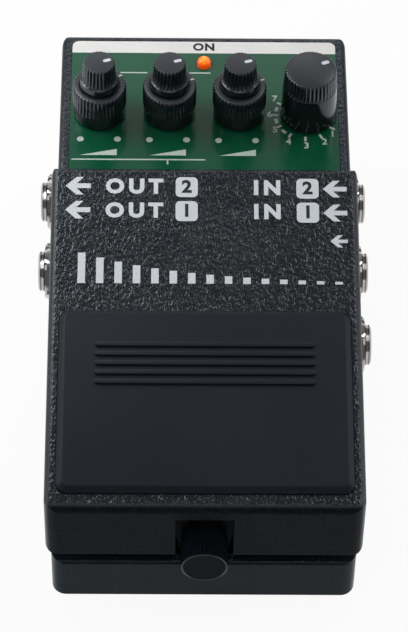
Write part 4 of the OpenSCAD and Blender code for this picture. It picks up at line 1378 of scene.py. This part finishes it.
@dataclass
class Selector(Part):
    """The tall mode selector: ribbed near its top, with a smooth glossy skirt."""

    ribs: int = 38
    rib_depth: float = 0.24
    turn: float = 60.0
    skirt_h: float = 9.4

    def build(self) -> None:
        """Models the knob and its mark, and dresses its shaft, switch and the panel's nuts."""
        foot, r, h = standing("selector_knob")
        d = self.rib_depth
        top = r - 0.62
        form = Form().turn([
            Ring(h - 3.1, 0.0), Ring(h - 3.0, 3.03), Ring(2.65, 3.03), Ring(2.6, 5.15), Ring(0.1, 5.2),
            Ring(0.0, r - 0.3), Ring(0.3, r - 0.08), Ring(3.0, r - 0.15), Ring(9.0, r - 0.36), Ring(9.25, r - 0.38),
            Ring(9.45, r - 0.44), Ring(9.65, top + 0.14, d), Ring(12.0, top + 0.06, d),
            Ring(h - 0.9, top - 0.02, d), Ring(h - 0.68, top - 0.1, d * 0.9), Ring(h - 0.56, top - 0.26, d * 0.4),
            Ring(h - 0.48, top - 0.5), Ring(h - 0.3, top - 1.3), Ring(h - 0.15, top - 2.4), Ring(h - 0.05, top - 3.7),
            Ring(h - 0.02, 0.0),
        ], 6 * self.ribs, self.ribs)
        form.paint(1, lambda at: at.z < self.skirt_h)
        form.move(foot).piece("selector_ribbed", "selector", "knob_black", [self.finishes.knob, self.finishes.gloss],
                              ["selector_knob"])
        mark = Form()
        mark.rounded((0.95, 1.9), (0.45, 0.45), -0.4, 0.04)
        mark.move(foot @ turned(-self.turn, "Z") @ shift(0.0, top - 2.0, h - 0.21) @ turned(-8.0, "X"))
        mark.piece("selector_mark", "selector", "knob_black", [self.finishes.white])
        dress("selector_shaft", self.finishes.shaft)
        dress("selector_switch", self.finishes.can)
        dress("pot_nuts", self.finishes.nickel)


@dataclass
class Thumbscrew(Part):
    """Knurled thumbscrew with a smooth face, its thread and its guide bush."""

    head_l: float = 7.74
    teeth: int = 36
    tooth_depth: float = 0.34
    pitch: float = 0.7
    thread_depth: float = 0.22
    thread_r: float = 2.0

    def build(self) -> None:
        """Models the screw along +Z from its face, then lays it along the pedal."""
        low, high = corners("thumbscrew")
        r, length, d, head = (high.x - low.x) / 2, high.y - low.y, self.tooth_depth, self.head_l
        rings = [
            Ring(0.1, 0.0), Ring(0.1, r - 0.45), Ring(0.0, r - 0.36), Ring(0.0, r - 0.2), Ring(0.08, r - 0.09),
            Ring(0.3, r - 0.03), Ring(0.45, r, d * 0.6), Ring(0.7, r, d), Ring(head - 1.0, r, d),
            Ring(head - 0.6, r, d * 0.6), Ring(head - 0.3, r - 0.15), Ring(head, r - 0.5), Ring(head, self.thread_r),
        ]
        for k in range(int((length - head - 1.2) / self.pitch)):
            z = head + 0.4 + k * self.pitch
            rings += [Ring(z, self.thread_r), Ring(z + 0.35 * self.pitch, self.thread_r - self.thread_depth)]
        rings += [Ring(length - 0.5, self.thread_r), Ring(length, self.thread_r - 0.4), Ring(length, 0.0)]
        form = Form().turn(rings, 6 * self.teeth, self.teeth)
        # A thin ring at the rim of the face takes the lighter metal finish, a painted highlight.
        form.paint(1, lambda at: at.z < 0.09 and math.hypot(at.x, at.y) > r - 0.44)
        form.move(shift(0.0, low.y, (low.z + high.z) / 2) @ turned(-90.0, "X"))
        form.piece("thumbscrew_knurled", "thumbscrew", "thumb_black", [self.finishes.thumb, self.finishes.rim_highlight],
                   ["thumbscrew"])
        dress("guide_bush", self.finishes.plastic)


@dataclass
class ReturnSpring(Part):
    """Coiled spring under the treadle's nose, which the pressed treadle squeezes; its coil here is drawn at rest."""

    turns: int = 5
    wire_r: float = 0.45
    coil_r: float = 3.45
    steps: int = 40
    deck_z: float = 23.46
    keep: float = 0.741

    def build(self) -> None:
        """Sweeps the wire's section round the coil."""
        centre, size = middle("return_spring")
        rise = size.z - 2 * self.wire_r
        count = self.turns * self.steps
        form = Form()
        bmesh.ops.create_circle(form.bm, segments=14, radius=self.wire_r, cap_ends=True)
        form.move(shift(self.coil_r, 0.0, centre.z - rise / 2) @ turned(90.0, "X"))
        bmesh.ops.spin(form.bm, geom=form.bm.faces[:], cent=(0.0, 0.0, 0.0), axis=(0.0, 0.0, 1.0),
                       dvec=(0.0, 0.0, rise / count), angle=math.tau * self.turns, steps=count)
        form.move(shift(centre.x, centre.y, 0.0))
        spring = form.piece("spring_coil", "base", "spring_steel", [self.finishes.steel], ["return_spring"])
        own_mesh(spring)


@dataclass
class Jack(Part):
    """A phone jack: a threaded nickel neck with a bore, and a black body with two pins."""

    node: str
    side: Side
    inner_x: float = 29.55
    body_w: float = 12.0
    body_h: float = 13.0
    neck_r: float = 4.5
    bore_r: float = 3.25
    bore_l: float = 27.0
    pitch: float = 0.75
    pins: Sequence[float] = (6.0, 18.0)

    def build(self) -> None:
        """Models the jack along +Z, then turns it to its side."""
        low, high = corners(self.node)
        back, mouth = sorted((abs(low.x), abs(high.x)))
        z = high.z - self.body_h / 2
        half, aspect = self.body_w / 2, self.body_h / self.body_w
        rings = [
            Ring(mouth - self.bore_l, 0.0), Ring(mouth - self.bore_l, self.bore_r), Ring(mouth - 0.4, self.bore_r),
            Ring(mouth, self.bore_r + 0.35), Ring(mouth, self.neck_r - 0.45),
        ]
        for k in range(int((mouth - self.inner_x - 0.6) / self.pitch)):
            x = mouth - 0.35 - k * self.pitch
            rings += [Ring(x, self.neck_r), Ring(x - 0.45 * self.pitch, self.neck_r - 0.2)]
        rings += [Ring(self.inner_x, self.neck_r - 0.1)]
        rings += [Ring(x, half - inset, 0.0, Outline.BOX, aspect) for x, inset in (
            (self.inner_x, 0.3), (self.inner_x - 0.3, 0.0), (back + 0.3, 0.0), (back, 0.3))]
        form = Form().turn(rings + [Ring(back, 0.0)], 72)
        form.paint(1, lambda at: at.z < self.inner_x + 0.01 and math.hypot(at.x, at.y) > self.bore_r + 0.1)
        form.move(shift(0.0, (low.y + high.y) / 2, z) @ turned(90.0 * self.side.value, "Y"))
        for reach in self.pins:
            place = shift(self.side.value * (self.inner_x - reach), (low.y + high.y) / 2, 0.0)
            form.join(pin(low.z, z - half), place)
        form.piece(f"{self.node}_threaded", "base", "jack_body", [self.finishes.nickel, self.finishes.plastic],
                   [self.node])


@dataclass
class SideHardware(Part):
    """Jacks with their nuts and washers, and the power inlet."""

    nut_foot: float = 32.65
    nut_w: float = 11.6
    nut_h: float = 2.4
    nut_bore_r: float = 4.55
    jack_z: float = 18.0
    jacks: Sequence[tuple[Side, str]] = (
        (Side.LEFT, "jack_left_rear"), (Side.LEFT, "jack_left_front"), (Side.RIGHT, "jack_right_rear"),
        (Side.RIGHT, "jack_right_middle"), (Side.RIGHT, "jack_right_front"),
    )

    def build(self) -> None:
        """Models the jacks, their chamfered nuts and the inlet."""
        nuts = Form()
        for side, node in self.jacks:
            Jack(self.finishes, node, side).build()
            centre, _ = middle(node)
            nuts.join(self._nut(), shift(0.0, centre.y, self.jack_z) @ turned(90.0 * side.value, "Y"))
        nuts.piece("jack_nuts_chamfered", "base", "nickel", [self.finishes.nickel], ["jack_nuts"], 25.0)
        dress("jack_washers", self.finishes.nickel)
        self._inlet()

    def _nut(self) -> Form:
        """Models one nut along +Z: six sides with chamfered corners, and a bore.

        Returns:
            The nut.
        """
        foot, top, half = self.nut_foot, self.nut_foot + self.nut_h, self.nut_w / 2
        corner = half / math.cos(math.radians(30.0))
        hexes = ((foot, corner - 0.6), (foot + 0.3, corner), (top - 0.5, corner), (top, corner - 0.8))
        rings = [Ring(foot, self.nut_bore_r)] + [Ring(z, half, 0.0, Outline.HEX, cap=cap) for z, cap in hexes]
        return Form().turn(rings + [Ring(top, self.nut_bore_r)], 72, loop=True)

    def _inlet(self) -> None:
        """Models the power inlet along +Z: its pin, bore, round nose and square body, then lays it to the rear."""
        low, high = corners("power_inlet")
        back, nose, wall = low.y, high.y, high.y - 2.7
        half = (high.x - low.x) / 2
        rings = [
            Ring(nose - 0.9, 0.0), Ring(nose - 0.9, 0.75), Ring(nose - 1.2, 1.05), Ring(back + 3.0, 1.05),
            Ring(back + 3.0, 2.9), Ring(nose - 0.3, 2.9), Ring(nose, 3.2), Ring(nose, 4.05), Ring(nose - 0.25, 4.3),
            Ring(wall, 4.3), Ring(wall, half - 0.3, 0.0, Outline.BOX), Ring(wall - 0.3, half, 0.0, Outline.BOX),
            Ring(back + 0.3, half, 0.0, Outline.BOX), Ring(back, half - 0.3, 0.0, Outline.BOX), Ring(back, 0.0),
        ]
        form = Form().turn(rings, 64)
        form.paint(1, lambda at: at.z > back + 3.05 and math.hypot(at.x, at.y) < 1.1)
        form.move(shift((low.x + high.x) / 2, 0.0, high.z - half) @ turned(-90.0, "X"))
        foot = high.z - 2 * half + 0.2
        for side in Side:
            form.join(pin(low.z, foot), shift((low.x + high.x) / 2 + 3.0 * side.value, back + 3.0, 0.0))
        form.piece("inlet_barrel", "base", "inlet_black", [self.finishes.plastic, self.finishes.nickel],
                   ["power_inlet"])


@dataclass
class Insides(Part):
    """Boards, battery, switch and wiring under the covers."""

    conductors: int = 12
    core_r: float = 0.29
    can_r: float = 2.2
    lead_r: float = 0.55
    lead_bend: float = 0.7

    def dress(self) -> None:
        """Gives the inner solids that keep their CAD shape their finishes."""
        f = self.finishes
        for node, material in {
            "main_board": f.board, "control_board": f.board, "board_chips": f.chip, "board_standoffs": f.brass,
            "ribbon_headers": f.ivory, "foot_switch": f.plastic, "switch_plunger": f.nylon, "battery_snap": f.plastic,
        }.items():
            dress(node, material)

    def build(self) -> None:
        """Models the battery's rounded can, the flat cable's conductors and the two leads."""
        centre, size = middle("battery")
        can = Form()
        can.rounded((size.y - 0.02, size.z - 0.02), (self.can_r, self.can_r), -size.x / 2, size.x / 2)
        can.soften(0.5, 2, 60.0)
        can.move(shift(*centre) @ turned(90.0, "Y") @ turned(90.0, "Z"))
        can.piece("battery_rounded", "base", "battery_can", [self.finishes.battery], ["battery"])
        low, high = corners("board_ribbon")
        pitch, thick = (high.x - low.x) / self.conductors, high.y - low.y
        cable = Form()
        for k in range(self.conductors):
            core = (low.x + (k + 0.5) * pitch, low.y + thick / 2)
            cable.rounded((pitch, thick), (self.core_r, self.core_r), low.z, high.z, core, 3)
        cable.piece("ribbon_conductors", "base", "ribbon_grey", [self.finishes.ribbon], ["board_ribbon"])
        low, high = corners("snap_leads")
        leads = Form()
        for slot, x in enumerate((low.x + self.lead_r, high.x - self.lead_r)):
            lead = self._lead(low, high)
            lead.paint(slot, lambda at: True)
            leads.join(lead, shift(x, 0.0, 0.0))
        leads.piece("snap_wires", "base", "lead_red", [self.finishes.red, self.finishes.plastic], ["snap_leads"])

    def _lead(self, low: Vector, high: Vector) -> Form:
        """Models one lead at X 0: straight through the bay's wall, then down to the board in a bend.

        Args:
            low: Lowest corner of the leads.
            high: Highest corner of the leads.

        Returns:
            The lead.
        """
        form = Form()
        bend_y, z = high.y - self.lead_r - self.lead_bend, high.z - self.lead_r
        disc = bmesh.ops.create_circle(form.bm, segments=16, radius=self.lead_r, cap_ends=True)["verts"]
        form.move(shift(0.0, low.y, z) @ turned(90.0, "X"))
        end = self._draw(form, [disc[0].link_faces[0]], (0.0, bend_y - low.y, 0.0))
        end = bmesh.ops.spin(form.bm, geom=end, cent=(0.0, bend_y, z - self.lead_bend), axis=(-1.0, 0.0, 0.0),
                             angle=math.pi / 2, steps=8)["geom_last"]
        faces = [g for g in end if isinstance(g, bmesh.types.BMFace)]
        self._draw(form, faces, (0.0, 0.0, low.z - z + self.lead_bend))
        return form

    def _draw(self, form: Form, faces: list[bmesh.types.BMFace], way: Sequence[float]) -> list[bmesh.types.BMFace]:
        """Draws the end of a lead out.

        Args:
            form: The lead.
            faces: Its end.
            way: How far the end moves.

        Returns:
            The new end.
        """
        made = bmesh.ops.extrude_face_region(form.bm, geom=faces)["geom"]
        bmesh.ops.translate(form.bm, verts=[g for g in made if isinstance(g, bmesh.types.BMVert)], vec=way)
        return [g for g in made if isinstance(g, bmesh.types.BMFace)]


@dataclass(frozen=True)
class Softbox:
    """A square area light that looks at the pedal."""

    name: str
    watts: float
    size: float
    place: Triple
    aim: Triple = (0.0, 0.0, 0.02)

    def build(self) -> None:
        """Adds the light, which the camera doesn't see."""
        data = bpy.data.lights.new(self.name, "AREA")
        data.energy = self.watts
        data.size = self.size
        lamp = bpy.data.objects.new(self.name, data)
        lamp.location = self.place
        lamp.visible_camera = False
        lamp.rotation_euler = (Vector(self.place) - Vector(self.aim)).to_track_quat("Z", "Y").to_euler()
        bpy.context.scene.collection.objects.link(lamp)


@dataclass
class Stage:
    """Floor, lights and camera. The camera is the one that fits the photo's outline."""

    elevation: float = 51.38
    yaw: float = -1.125
    roll: float = 1.213
    distance: float = 0.68042
    target: Triple = (0.0, -0.00027, 0.024)
    focal_px: float = 3114.5
    centre_px: Point = (203.63, 302.0)
    image_px: tuple[int, int] = (408, 632)
    world: float = 0.16
    floor_half: float = 3.0
    floor_z: float = -0.03 * MM
    paper: Colour = (0.86, 0.86, 0.86)
    lights: Sequence[Softbox] = (
        Softbox("top_front", 1.7, 0.7, (0.0, -0.45, 0.95)),
        Softbox("top_left", 0.21, 0.11, (-0.125, 0.08, 0.165)),
        Softbox("top_right", 2.6, 0.4, (0.6, 0.5, 0.9)),
        Softbox("left", 1.8, 0.4, (-0.8, 0.1, 0.4)),
        Softbox("right", 1.4, 0.35, (0.75, 0.15, 0.35)),
        Softbox("rear", 1.7, 0.6, (0.0, 1.0, 0.68)),
    )

    def build(self) -> None:
        """Adds the camera, the lights, the world and the floor."""
        self._camera()
        for light in self.lights:
            light.build()
        world = bpy.data.worlds.new("studio")
        world.use_nodes = True
        sky = world.node_tree.nodes["Background"].inputs
        sky["Color"].default_value = (*WHITE, 1.0)
        sky["Strength"].default_value = self.world
        bpy.context.scene.world = world
        self._floor()

    def _camera(self) -> None:
        """Places the camera by its angles, distance and picture centre."""
        e, y, r = (math.radians(a) for a in (self.elevation, self.yaw, self.roll))
        back = Vector((math.sin(y) * math.cos(e), -math.cos(y) * math.cos(e), math.sin(e)))
        right = Vector((math.cos(y), math.sin(y), 0.0))
        up = back.cross(right)
        data = bpy.data.cameras.new("camera")
        width, height = self.image_px
        data.sensor_fit = "VERTICAL"
        data.sensor_height = 36.0
        data.lens = self.focal_px / height * data.sensor_height
        data.shift_x = (width / 2 - self.centre_px[0]) / height
        data.shift_y = (self.centre_px[1] - height / 2) / height
        data.clip_start = 0.01
        camera = bpy.data.objects.new("camera", data)
        axes = (right * math.cos(r) + up * math.sin(r), up * math.cos(r) - right * math.sin(r), back)
        place = shift(*(Vector(self.target) + back * self.distance))
        camera.matrix_world = place @ Matrix(axes).transposed().to_4x4()
        bpy.context.scene.collection.objects.link(camera)
        bpy.context.scene.camera = camera

    def _floor(self) -> None:
        """Lays the pale floor, just under the pedal's mat."""
        mesh = bpy.data.meshes.new("floor")
        bm = bmesh.new()
        bmesh.ops.create_grid(bm, x_segments=1, y_segments=1, size=self.floor_half)
        bmesh.ops.translate(bm, verts=bm.verts[:], vec=(0.0, 0.0, self.floor_z))
        bm.to_mesh(mesh)
        bm.free()
        mesh.materials.append(FloorPaper("floor_paper", self.paper).build())
        floor = bpy.data.objects.new("floor", mesh)
        bpy.context.scene.collection.objects.link(floor)


def main() -> None:
    """Builds the stage and the pedal's pieces."""
    logging.basicConfig(level=logging.INFO, format="%(name)s: %(message)s")
    bpy.context.scene.view_settings.view_transform = "Standard"
    Stage().build()
    finishes = Finishes()
    Housing(finishes).dress()
    Screws(finishes, "bottom_screws", 2.9, 1.4, 1.5, False).build()
    Screws(finishes, "board_screws", 2.1, 1.6, 1.2, True).build()
    Screws(finishes, "switch_screws", 1.9, 1.2, 1.0, True).build()
    panel = PanelFace(finishes)
    panel.dress()
    panel.build()
    treadle = Treadle(finishes)
    treadle.dress()
    treadle.build()
    for place, ring_turn in (("left", 60.0), ("middle", 72.0), ("right", 72.0)):
        StackedKnob(finishes, place, ring_turn).build()
    Selector(finishes).build()
    Thumbscrew(finishes).build()
    ReturnSpring(finishes).build()
    SideHardware(finishes).build()
    insides = Insides(finishes)
    insides.dress()
    insides.build()


if __name__ == "__main__":
    main()
